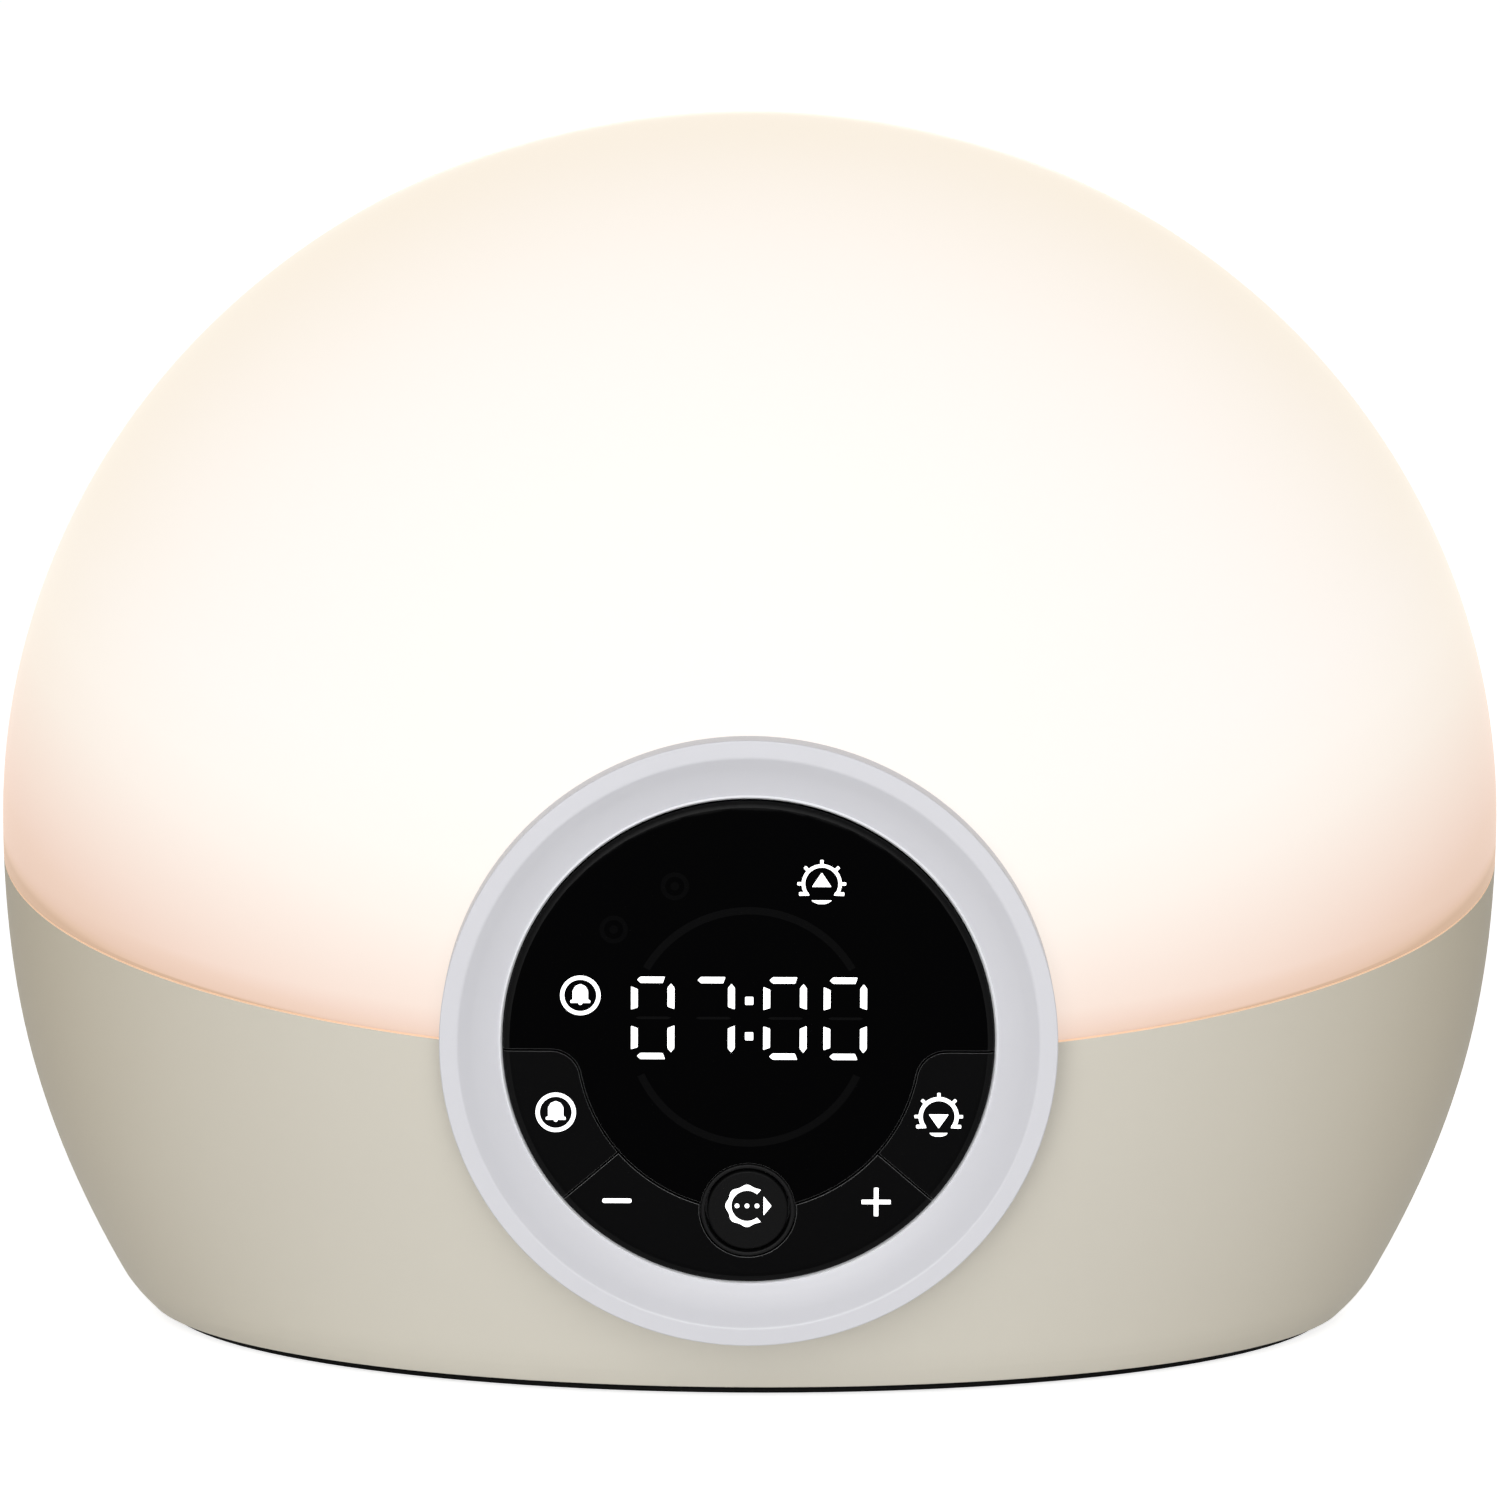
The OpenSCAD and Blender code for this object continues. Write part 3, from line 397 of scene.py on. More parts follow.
def chained(nodes, links):
    """Gives a short way to chain Math nodes in one tree."""
    def sum_of(operation, *terms):
        node = nodes.new("ShaderNodeMath")
        node.operation = operation
        for socket, term in zip(node.inputs, terms):
            if isinstance(term, (int, float)):
                socket.default_value = term
            else:
                links.new(term, socket)
        return node.outputs["Value"]
    return sum_of


def side_shaded(material, deep):
    """Darkens a moulded tone towards the left and right sides of the body, as painted shade where
    the light falls off.
    """
    nodes, links = material.node_tree.nodes, material.node_tree.links
    place = nodes.new("ShaderNodeTexCoord")
    axes = nodes.new("ShaderNodeSeparateXYZ")
    links.new(place.outputs["Object"], axes.inputs["Vector"])
    sum_of = chained(nodes, links)
    aside = sum_of("ABSOLUTE", sum_of("DIVIDE", axes.outputs["X"], HALF_W))
    tone = nodes.new("ShaderNodeMix")
    tone.data_type = "RGBA"
    tone.blend_type = "MULTIPLY"
    tone.inputs["B"].default_value = deep
    share = sum_of("MINIMUM", sum_of("POWER", aside, SIDE_SHADE_POWER), 1.0)
    links.new(share, tone.inputs["Factor"])
    shader = nodes["Principled BSDF"]
    links.new(shader.inputs["Base Color"].links[0].from_socket, tone.inputs["A"])
    links.new(tone.outputs["Result"], shader.inputs["Base Color"])
    return material


def lit(name, colour, strength, soft):
    """A glowing surface, for a backlit window or for lamp light painted on a part: its glow is a
    little uneven, as its light guide leaves it.
    """
    material = bpy.data.materials.new(name)
    material.use_nodes = True
    nodes, links = material.node_tree.nodes, material.node_tree.links
    shader = nodes["Principled BSDF"]
    shader.inputs["Roughness"].default_value = 0.4
    shader.inputs["Specular IOR Level"].default_value = 0.2
    shader.inputs["Emission Strength"].default_value = strength
    place = nodes.new("ShaderNodeTexCoord")
    glow = nodes.new("ShaderNodeTexNoise")
    glow.inputs["Scale"].default_value = 300
    tone = nodes.new("ShaderNodeMix")
    tone.data_type = "RGBA"
    tone.inputs["A"].default_value = colour
    tone.inputs["B"].default_value = soft
    links.new(place.outputs["Object"], glow.inputs["Vector"])
    links.new(glow.outputs["Fac"], tone.inputs["Factor"])
    links.new(tone.outputs["Result"], shader.inputs["Base Color"])
    links.new(tone.outputs["Result"], shader.inputs["Emission Color"])
    return material


STONE = side_shaded(moulded("stone moulded plastic", display_colour(214, 210, 198),
                         display_colour(210, 205, 193), (0.5, 0.62), grain=2600, depth=0.01,
                         cloud=26, specular=0.35), STONE_SIDE_SHADE)
SEAM_LIGHT = lit("light on the seam edge", display_colour(232, 208, 182), 0.34,
                 display_colour(226, 200, 174))
seam_under = Vector((0, 0, SEAM_Z)) - SEAM_UP * SEAM_GAP
shell = walled_form(0, WALL, (
    (seam_under, SEAM_UP),
    (Vector((0, 0, RIM_Z)), Vector((0, 0, -1))),
))
for step in range(1, HEEL_CUTS + 1):
    bmesh.ops.bisect_plane(shell, geom=shell.verts[:] + shell.edges[:] + shell.faces[:],
                           dist=1e-7, plane_co=(0, 0, RIM_Z + HEEL_H * step / HEEL_CUTS),
                           plane_no=(0, 0, 1))
outer_rim = [e for e in shell.edges
             if all(abs(v.co.z - RIM_Z) < 1e-6 for v in e.verts)
             and len(e.link_faces) == 2 and e.calc_face_angle() > SHARP_RIM
             and max(math.hypot(v.co.x / HALF_W, v.co.y / HALF_D) for v in e.verts) > OUTSIDE]
for v in shell.verts:
    drawn = 1 - HEEL_DRAW * max(0.0, 1 - (v.co.z - RIM_Z) / HEEL_H) ** 2
    v.co.x, v.co.y = v.co.x * drawn, v.co.y * drawn
bmesh.ops.bevel(shell, geom=outer_rim, offset=RIM_ROUND, offset_type="OFFSET", segments=6,
                profile=0.5, affect="EDGES", material=-1, clamp_overlap=True)
housing = as_object(shell, "stone_housing")
carve(housing, face_bore(BORE_R))
recess = face_bore(RING_R + RECESS_GAP)
carve(recess, as_object(body_form(RECESS_D), "floor of the recess"))
carve(housing, recess)
carve(housing, as_object(shift(rod(INLET_HOLE_R, *INLET_REACH, "Y", 48),
                               INLET_X, 0, INLET_Z), "inlet hole"))
# The housing's rim faces along the seam take the glowing material: painted lamp light, as if
# leaking out of the seam onto the stone.
for face in housing.data.polygons:
    face.material_index = int(face.normal.dot(SEAM_UP) > ALONG_SEAM
                              and (face.center - seam_under).dot(SEAM_UP) > -TOUCHING)
smoothed(housing)
fit(housing, (STONE, SEAM_LIGHT), "housing", "base_shell", "base_housing")

# Housing screws: four zinc-plated steel screws, sunk into recesses of the plate from
# below, that draw it up against the bosses of the housing.
dress(ZINC, "base_screws")

# Lamp chamber: a white reflector tray closes the base along the seam. An aluminium
# spreader lies on it and carries the lamp board with its warm and amber lamps.
REFLECTOR = moulded("reflector plastic", display_colour(236, 236, 234),
                    display_colour(228, 228, 226), (0.5, 0.65))
LAMP_BOARD = solder_mask("white solder mask", display_colour(236, 237, 236),
                         display_colour(222, 224, 222))
ROLLED = metal("rolled aluminium", display_colour(208, 209, 212),
               display_colour(190, 191, 196), (0.3, 0.42), streak=(30, 900, 900))
PHOSPHOR = moulded("lamp phosphor", display_colour(238, 208, 120),
                   display_colour(228, 188, 96), (0.3, 0.4), cloud=200)
RED_WIRE = moulded("red wire insulation", display_colour(170, 38, 30),
                   display_colour(150, 30, 24), (0.4, 0.5))
dress(REFLECTOR, "reflector_tray", "pod_cover")
dress(ZINC, "tray_screws", "pod_screws")
dress(ROLLED, "heat_spreader")
dress(LAMP_BOARD, "lamp_board")
dress(PHOSPHOR, "lamp_chips")
dress(RED_WIRE, "lamp_leads")

# Control pod: the key frame carries the display, the light guides and the switches, and
# each key's stem ends in a nylon plunger. All of it sits behind the black disc.
POD_BLACK = moulded("pod plastic", display_colour(46, 46, 49), display_colour(36, 36, 39),
                    (0.5, 0.65))
GUIDE_CLEAR = moulded("light guide plastic", display_colour(240, 240, 240),
                      display_colour(228, 228, 228), (0.15, 0.25))
NYLON = moulded("plunger nylon", display_colour(234, 230, 220),
                display_colour(224, 218, 206), (0.4, 0.5))
dress(POD_BLACK, "key_frame", "display_module")
dress(GUIDE_CLEAR, "icon_light_guides", "display_segments")
dress(NYLON, "alarm_plunger", "light_plunger", "menu_plunger", "rocker_plungers")

# Bezel ring: a satin pale grey moulding with a flat lip, a shallow dish and a fine bead
# round the disc. Its skirt is trimmed to the body, and its tube drops into the bore.
LIP_W = 2.3 * MM
LIP_ROUND, DISH_ROUND = 0.2 * MM, 1.4 * MM
DISH_D, DISH_BREAK = 2.6 * MM, (34.1 * MM, -1.8 * MM)
DISH_R = 31.24 * MM
BEAD_W, BEAD_H = 0.42 * MM, 0.3 * MM
TUBE_OUT, TUBE_IN = 38.0 * MM, 36.2 * MM
TUBE_END, SKIRT_END, SEAT_GAP = 16 * MM, 14 * MM, 0.2 * MM
DISH_BACK, RING_WALL = 4.4 * MM, 1.8 * MM
TO_FACE = Matrix.Translation((0, FACE_Y, FACE_Z)) @ Matrix.Rotation(math.radians(90), 4, "X")


def turned(outline, rounds=(), turn=360, steps=256):
    """Turns a closed outline of radius and height round Z, with some corners rounded."""
    bm = bmesh.new()
    corners = [bm.verts.new((radius, 0, height)) for radius, height in outline]
    face = bm.faces.new(corners)
    for index, size in rounds:
        bmesh.ops.bevel(bm, geom=[corners[index]], offset=size, offset_type="OFFSET",
                        segments=6, profile=0.5, affect="VERTICES", material=-1)
        face = bm.faces[:][0]
    bmesh.ops.delete(bm, geom=[face], context="FACES_ONLY")
    full = turn == 360
    bmesh.ops.spin(bm, geom=bm.verts[:] + bm.edges[:], axis=(0, 0, 1), cent=(0, 0, 0),
                   steps=steps, angle=math.radians(turn), use_merge=full)
    if not full:
        bmesh.ops.holes_fill(bm, edges=[e for e in bm.edges if e.is_boundary])
    bmesh.ops.recalc_face_normals(bm, faces=bm.faces)
    return bm


def onto_face(bm):
    """Moves a shape from the face's own axes, front towards +Z, to its place."""
    bmesh.ops.transform(bm, matrix=TO_FACE, verts=bm.verts)
    return bm


BEZEL_GREY = moulded("satin bezel plastic", display_colour(213, 213, 218),
                     display_colour(209, 209, 214), (0.32, 0.42), grain=3000, depth=0.006,
                     specular=0.4)
# Painted highlight: the bead takes a near-white tone for the bright line it catches, and a lower
# roughness.
BEAD_HIGHLIGHT_WHITE = moulded("bezel bead with painted highlight", display_colour(244, 245, 247),
                     display_colour(238, 239, 242), (0.15, 0.2), grain=3000, depth=0.002)
ring = as_object(onto_face(turned((
    (RING_R - LIP_W, 0),
    (RING_R, 0),
    (RING_R, -SKIRT_END),
    (TUBE_OUT, -SKIRT_END),
    (TUBE_OUT, -TUBE_END),
    (TUBE_IN, -TUBE_END),
    (TUBE_IN, -RING_WALL),
    (DISH_R + RING_WALL, -DISH_BACK),
    (DISH_R, -DISH_BACK),
    (DISH_R, -DISH_D),
    (DISH_R + BEAD_W / 2, -(DISH_D - BEAD_H)),
    (DISH_R + BEAD_W, -DISH_D),
    DISH_BREAK,
), rounds=((1, LIP_ROUND), (0, LIP_ROUND), (12, DISH_ROUND)))), "bezel")
seat = as_object(body_form(-SEAT_GAP), "seat")
carve(seat, face_bore(TUBE_OUT))
carve(ring, seat)
# The bead's faces take material 1, the near-white painted highlight.
for face in ring.data.polygons:
    out = math.hypot(face.center.x, face.center.z - FACE_Z)
    face.material_index = int(out < DISH_R + BEAD_W and face.center.y < FACE_Y + DISH_D)
smoothed(ring, 24)
fit(ring, (BEZEL_GREY, BEAD_HIGHLIGHT_WHITE), "housing", "bezel", "bezel_ring")

# Lens: a polished smoked acrylic disc with a bevelled rim. Wing and band shapes are cut
# out of its lower half for the keys, with one even open line all round.
DISC_R = 31.1 * MM
BEVEL_W, BEVEL_D = 1.3 * MM, 0.55 * MM
ROUNDING = ((0.5, 0.04), (0.35, 0.09), (0.28, 0.16), (0.17, 0.26))
LENS_W, LENS_BACK = 1.4 * MM, 4.4 * MM
HALF_GAP = 0.125 * MM
BAND_R = 21.7 * MM
WING_V, WING_CORNER = -1 * MM, 3.8 * MM
SPLIT_A = math.radians(40.8)
MENU_V, MENU_R = -21.6 * MM, 5.15 * MM
COLLAR_R, COLLAR_IN = 5.95 * MM, 5.45 * MM
PRISM, BAND_OUT = (2 * MM, -8 * MM), DISC_R + 1 * MM
EDGE_EASE, CREASE, LEANING = 0.12 * MM, math.radians(30), (0.2, 0.98)


def puck(front, back):
    """The solid disc that the lens and the keys share, with its edge rounded in four steps."""
    bm = bmesh.new()
    reach = DISC_R - BEVEL_W
    bmesh.ops.create_circle(bm, cap_ends=True, segments=288, radius=reach)
    bmesh.ops.translate(bm, vec=(0, 0, -front), verts=bm.verts)
    for out, fall in (*ROUNDING, (0, (back - front - BEVEL_D) / MM)):
        rim = [e for e in bm.edges if e.is_boundary]
        grown = bmesh.ops.extrude_edge_only(bm, edges=rim)["geom"]
        edge = [v for v in grown if isinstance(v, bmesh.types.BMVert)]
        growth = 1 + out * MM / reach
        bmesh.ops.scale(bm, vec=(growth, growth, 1), verts=edge)
        bmesh.ops.translate(bm, vec=(0, 0, -fall * MM), verts=edge)
        reach *= growth
    bmesh.ops.holes_fill(bm, edges=[e for e in bm.edges if e.is_boundary])
    bmesh.ops.recalc_face_normals(bm, faces=bm.faces)
    return bm


def band(inner):
    """The ring between a radius and a little past the disc's edge."""
    return turned(((inner, PRISM[0]), (BAND_OUT, PRISM[0]),
                   (BAND_OUT, PRISM[1]), (inner, PRISM[1])), steps=288)


def trimmed(bm, point, away):
    """Cuts a solid with a plane and closes it again."""
    keep_side(bm, point, away)
    bmesh.ops.holes_fill(bm, edges=[e for e in bm.edges if e.is_boundary])
    bmesh.ops.recalc_face_normals(bm, faces=bm.faces)
    return bm


def prism(outline):
    """A straight prism over a few corner points."""
    bm = bmesh.new()
    face = bm.faces.new([bm.verts.new((x, y, PRISM[0])) for x, y in outline])
    grown = bmesh.ops.extrude_face_region(bm, geom=[face])["geom"]
    edge = [v for v in grown if isinstance(v, bmesh.types.BMVert)]
    bmesh.ops.translate(bm, vec=(0, 0, PRISM[1] - PRISM[0]), verts=edge)
    bmesh.ops.recalc_face_normals(bm, faces=bm.faces)
    return bm


def peg(x, y, radius):
    return shift(rod(radius, PRISM[1], PRISM[0], "Z", 96), x, y, 0)


def wing_block(inset, side):
    """The wing key's outline as a block: side is -1 for the left and 1 for the right."""
    split = Vector((math.sin(SPLIT_A), -math.cos(SPLIT_A), 0))
    block = trimmed(band(BAND_R + inset), Vector((0, WING_V - inset, 0)), Vector((0, 1, 0)))
    block = as_object(trimmed(block, -split * inset, split), "wing")
    hub = BAND_R + WING_CORNER
    inner, top = BAND_R + inset, WING_V - inset
    corner = Vector((-math.sqrt(hub ** 2 - (WING_CORNER - WING_V) ** 2), WING_V - WING_CORNER))
    sharp = -math.sqrt(inner ** 2 - top ** 2)
    spare = 0.4 * MM
    carve(block, as_object(prism((
        (corner.x, top + spare), (sharp + spare, top + spare), (sharp + spare, top - spare),
        tuple(corner * (inner - spare) / hub), tuple(corner),
    )), "corner"))
    carve(block, as_object(peg(*corner, WING_CORNER - inset), "corner"), "UNION")
    if side > 0:
        block.data.transform(Matrix.Scale(-1, 4, (1, 0, 0)))
        block.data.flip_normals()
    return block


def band_block(inset):
    """The minus and plus key's outline: a band below the lens, round the menu key."""
    block = band(BAND_R + inset)
    for side in (-1, 1):
        split = Vector((-side * math.sin(SPLIT_A), -math.cos(SPLIT_A), 0))
        block = trimmed(block, split * inset, -split)
    block = as_object(block, "band")
    carve(block, as_object(peg(0, MENU_V, COLLAR_R + HALF_GAP + inset), "collar room"))
    return block


def eased(part, front, size, segments=3):
    """Rounds the edges round a part's front and along its bevel by a small size."""
    bm = bmesh.new()
    bm.from_mesh(part.data)
    bmesh.ops.remove_doubles(bm, verts=bm.verts, dist=1e-6)
    bmesh.ops.dissolve_limit(bm, angle_limit=math.radians(0.5), verts=bm.verts, edges=bm.edges)
    edges = [e for e in bm.edges
             if len(e.link_faces) == 2 and e.calc_face_angle() > CREASE
             and all(v.co.z > -front - BEVEL_D - 0.01 * MM for v in e.verts)]
    bmesh.ops.bevel(bm, geom=edges, offset=size, offset_type="OFFSET", segments=segments,
                    profile=0.5, affect="EDGES", material=-1, clamp_overlap=True)
    bm.normal_update()
    # Faces on the rounded rim take material 1, a lighter black as a painted reflection.
    for face in bm.faces:
        if LEANING[0] < face.normal.z < LEANING[1]:
            middle, lean = face.calc_center_median().xy, face.normal.xy.normalized()
            on_rim = middle.length > DISC_R - BEVEL_W and lean.dot(middle.normalized()) > 0.99
            # The other eased edges take material 2, a grey painted highlight.
            face.material_index = 1 if on_rim else 2
    bm.to_mesh(part.data)
    bm.free()
    part.data.transform(TO_FACE)


def black(name, tone, rough, specular):
    return moulded(name, display_colour(tone, tone, tone + 1), display_colour(tone, tone, tone),
                   rough, grain=2500, depth=0.004, specular=specular)


LENS_BLACK = black("smoked acrylic", 2, (0.1, 0.14), 0.01)
# Painted reflection: the rounded rim of the lens and keys takes a lighter black for the light its
# polished edge reflects.
RIM_REFLECTION_BLACK = black("rounded edge with painted reflection", 10, (0.3, 0.4), 0.05)
# Painted highlight: the small eased edges along the gaps take a grey for the light lines they
# catch.
EDGE_HIGHLIGHT_GREY = black("cut edge with painted highlight", 95, (0.2, 0.3), 0.3)
lens = as_object(puck(LENS_W, LENS_BACK), "smoked_lens")
for side in (-1, 1):
    carve(lens, wing_block(-HALF_GAP, side))
carve(lens, band_block(-HALF_GAP))
carve(lens, as_object(peg(0, MENU_V, COLLAR_R + HALF_GAP / 2), "collar hole"))
eased(lens, LENS_W, EDGE_EASE)
smoothed(lens)
fit(lens, (LENS_BLACK, RIM_REFLECTION_BLACK, EDGE_HIGHLIGHT_GREY), "housing", "lens", "lens_panel")

# Keys: satin black mouldings level with one another, a little proud of the lens. Alarm
# and light are wings, and minus and plus are the two ends of one rocking band.
KEY_W, KEY_BACK = 1.2 * MM, 3.6 * MM
KEY_BLACK = black("satin key plastic", 5, (0.3, 0.38), 0.02)
for name, side in (("alarm", -1), ("light", 1)):
    key = as_object(puck(KEY_W, KEY_BACK), name + "_wing")
    carve(key, wing_block(HALF_GAP, side), "INTERSECT")
    eased(key, KEY_W, EDGE_EASE)
    smoothed(key)
    fit(key, (KEY_BLACK, RIM_REFLECTION_BLACK, EDGE_HIGHLIGHT_GREY), name + "_button", "key_black", name + "_key")
rocker = as_object(puck(KEY_W, KEY_BACK), "minus_plus_band")
carve(rocker, band_block(HALF_GAP), "INTERSECT")
eased(rocker, KEY_W, EDGE_EASE)
smoothed(rocker)
fit(rocker, (KEY_BLACK, RIM_REFLECTION_BLACK, EDGE_HIGHLIGHT_GREY), "minus_plus_button", "key_black",
    "minus_plus_rocker")

# Menu key: a round satin key inside a fixed collar. The collar stands up from the lens
# and keeps the finger off the minus and plus band beside it.
MENU_W, COLLAR_W = 1.0 * MM, 0.9 * MM
CAP_ROUND, COLLAR_ROUND = 0.3 * MM, 0.15 * MM
COLLAR_BLACK = black("collar plastic", 14, (0.3, 0.4), 0.08)
MENU_BLACK = black("menu key plastic", 12, (0.3, 0.4), 0.04)
collar = as_object(onto_face(shift(turned((
    (COLLAR_IN, -COLLAR_W), (COLLAR_R, -COLLAR_W), (COLLAR_R, -LENS_BACK),
    (COLLAR_IN, -LENS_BACK)), rounds=((0, COLLAR_ROUND), (1, COLLAR_ROUND)), steps=96),
    0, MENU_V, 0)), "menu_rim")
smoothed(collar, 35)
fit(collar, (COLLAR_BLACK,), "housing", "key_black", "menu_collar")
cap = shift(rod(MENU_R, -KEY_BACK, -MENU_W, "Z", 128), 0, MENU_V, 0)
front_edge = [e for e in cap.edges if all(v.co.z > -MENU_W - 1e-6 for v in e.verts)]
bmesh.ops.bevel(cap, geom=front_edge, offset=CAP_ROUND, offset_type="OFFSET", segments=4,
                profile=0.5, affect="EDGES", material=-1, clamp_overlap=True)
cap = as_object(onto_face(cap), "menu_cap")
smoothed(cap)
fit(cap, (MENU_BLACK,), "menu_button", "key_black", "menu_key")

# Display: the time in four digits, lit white from behind. Each segment is a bar with
# slanted ends, and the middle bars stay dark.
DISPLAY_V = 3.23 * MM
DIGITS_U = (-12.14 * MM, -4.5 * MM, 4.6 * MM, 12.22 * MM)
SEGMENTS = {
    "top": ((-1.99, 4.91), (-1.55, 5.32), (1.53, 5.32), (1.26, 4.5), (-1.55, 4.5)),
    "upper left": ((-2.75, 4.06), (-1.89, 3.69), (-1.89, 1.34), (-2.75, 1.06)),
    "upper right": ((1.87, 3.9), (2.31, 4.45), (2.74, 3.9), (2.74, 1.15), (1.87, 1.45)),
    "middle": ((-2.2, 0), (-1.8, 0.17), (1.9, 0.17), (2.3, 0), (1.9, -0.17), (-1.8, -0.17)),
    "lower left": ((-2.75, -1.04), (-1.89, -1.34), (-1.89, -3.8), (-2.75, -4.08)),
    "lower right": ((2.74, -0.96), (1.87, -1.34), (1.87, -3.9), (2.31, -4.46), (2.74, -3.9)),
    "bottom": ((-1.99, -4.94), (-1.55, -4.54), (1.26, -4.54), (1.57, -5.34), (-1.55, -5.34)),
}
ZERO = ("top", "upper left", "upper right", "lower left", "lower right", "bottom")
SEVEN = ("top", "upper right", "lower right")
COLON_V, COLON_HALF = (5.48, 0.9), 0.52
INLAY_H = 0.03 * MM


def inlay(outline, front, centre, corner=0.1 * MM):
    """A flat inlay just proud of a front: a few corner points, slightly rounded."""
    bm = bmesh.new()
    points = [bm.verts.new((x * MM, y * MM, -front)) for x, y in outline]
    bm.faces.new(points)
    if corner:
        bmesh.ops.bevel(bm, geom=points, offset=corner, offset_type="OFFSET", segments=3,
                        profile=0.5, affect="VERTICES", material=-1)
    grown = bmesh.ops.extrude_face_region(bm, geom=bm.faces[:])["geom"]
    edge = [v for v in grown if isinstance(v, bmesh.types.BMVert)]
    bmesh.ops.translate(bm, vec=(0, 0, INLAY_H), verts=edge)
    bmesh.ops.recalc_face_normals(bm, faces=bm.faces)
    return shift(bm, *centre, 0)


def gathered(shapes, name):
    """Joins flat inlays into one piece on the control face."""
    whole = bmesh.new()
    for shape in shapes:
        spare = bpy.data.meshes.new("inlay")
        onto_face(shape).to_mesh(spare)
        shape.free()
        whole.from_mesh(spare)
        bpy.data.meshes.remove(spare)
    return as_object(whole, name)


LIT_WHITE = lit("lit white", display_colour(255, 255, 255), 1.0, display_colour(250, 250, 250))
UNLIT = black("unlit window", 9, (0.3, 0.4), 0.015)
FROSTED = black("frosted line", 7, (0.5, 0.6), 0.015)
FAINT = black("hidden window", 3, (0.2, 0.3), 0.015)
digits = []
dark_bars = []
for centre, bars in zip(DIGITS_U, (ZERO, SEVEN, ZERO, ZERO)):
    digits += [inlay(SEGMENTS[bar], LENS_W, (centre, DISPLAY_V)) for bar in bars]
    dark_bars.append(inlay(SEGMENTS["middle"], LENS_W, (centre, DISPLAY_V)))
for dot_v in COLON_V:
    digits.append(inlay(((-COLON_HALF, -COLON_HALF), (COLON_HALF, -COLON_HALF),
                         (COLON_HALF, COLON_HALF), (-COLON_HALF, COLON_HALF)),
                        LENS_W, (0.06 * MM, dot_v * MM), 0.12 * MM))
fit(gathered(digits, "lit_digits"), (LIT_WHITE,), "housing", "light_window")
fit(gathered(dark_bars, "unlit_bars"), (UNLIT,), "housing", "light_window")

# Symbols: lit windows of the same white. Bell in a ring, sun with an up or down arrow
# over the horizon, minus, plus, and the menu's open ring with three dots and an arrow.
# Two more windows stay unlit, and a frosted circle runs round the time.


def ring_inlay(inner, outer, front, centre, start=0, turn=360):
    shape = turned(((inner * MM, -front), (outer * MM, -front),
                    (outer * MM, INLAY_H - front), (inner * MM, INLAY_H - front)),
                   turn=turn, steps=64)
    bmesh.ops.rotate(shape, cent=(0, 0, 0), verts=shape.verts,
                     matrix=Matrix.Rotation(math.radians(start), 3, "Z"))
    return shift(shape, *centre, 0)


def dot_inlay(radius, front, centre):
    return shift(rod(radius * MM, -front, INLAY_H - front, "Z", 32), *centre, 0)


def bell_symbol(front, centre):
    bell = ((-0.98, -0.55), (-0.98, 0.62), (-0.62, 1.22), (0, 1.48), (0.62, 1.22),
            (0.98, 0.62), (0.98, -0.55), (1.27, -0.62), (1.27, -0.97), (-1.27, -0.97),
            (-1.27, -0.62))
    return [ring_inlay(2.03, 2.56, front, centre), inlay(bell, front, centre, 0.12 * MM),
            dot_inlay(0.26, front, (centre[0], centre[1] - 0.97 * MM))]


def sun_symbol(front, centre, inner, outer, arrow, bar_half):
    """A sun over the horizon: an open ring with five rays and two feet, and a bar below."""
    drop = math.degrees(math.asin(1.5 / outer))
    shapes = [ring_inlay(inner, outer, front, centre, -drop, 180 + 2 * drop)]
    for ray in range(0, 181, 45):
        bar = inlay(((outer - 0.2, -0.21), (3.08, -0.21), (3.08, 0.21), (outer - 0.2, 0.21)),
                    front, (0, 0), 0.12 * MM)
        bmesh.ops.rotate(bar, cent=(0, 0, 0), verts=bar.verts,
                         matrix=Matrix.Rotation(math.radians(ray), 3, "Z"))
        shapes.append(shift(bar, *centre, 0))
    for side in (-1, 1):
        foot = inlay(((1.5 * side, -1.5), (1.75 * side, -1.06), (2.86 * side, -1.06),
                      (2.86 * side, -1.55)), front, centre, 0.14 * MM)
        shapes.append(foot)
    shapes.append(inlay(((-bar_half, -2.12), (bar_half, -2.12), (0.9, -2.42), (0.4, -2.6),
                         (-0.4, -2.6), (-0.9, -2.42)), front, centre, 0.1 * MM))
    shapes.append(inlay(arrow, front, centre, 0.12 * MM))
    return shapes


SUN_AT = (9.13 * MM, 20.6 * MM)
BELL_AT = (-21.3 * MM, 6.08 * MM)
ALARM_AT = (-24.4 * MM, -9.03 * MM)
LIGHT_AT = (24.15 * MM, -9.35 * MM)
UP = ((-1.24, -0.4), (1.24, -0.4), (0, 1.46))
DOWN = ((-1.28, 0.28), (1.28, 0.28), (0, -1.56))
SUN_RING, SUN_BAR = (2.09, 2.53), 1.33
LIGHT_RING, LIGHT_BAR = (2.02, 2.55), 1.18
lens_symbols = sun_symbol(LENS_W, SUN_AT, *SUN_RING, UP, SUN_BAR)
lens_symbols += bell_symbol(LENS_W, BELL_AT)
fit(gathered(lens_symbols, "lit_indicators"), (LIT_WHITE,), "housing", "light_window")
HIDDEN_AT = ((-9.4 * MM, 20.2 * MM), (-17.1 * MM, 14.6 * MM))
HIDDEN_RING, HIDDEN_DOT = (1.2, 1.8), 0.55
CIRCLE_AT, CIRCLE_R = (0.05 * MM, 2.07 * MM), (14.55, 15.5)
CIRCLE_ARCS = ((30, 120), (204.5, 131))
unlit = []
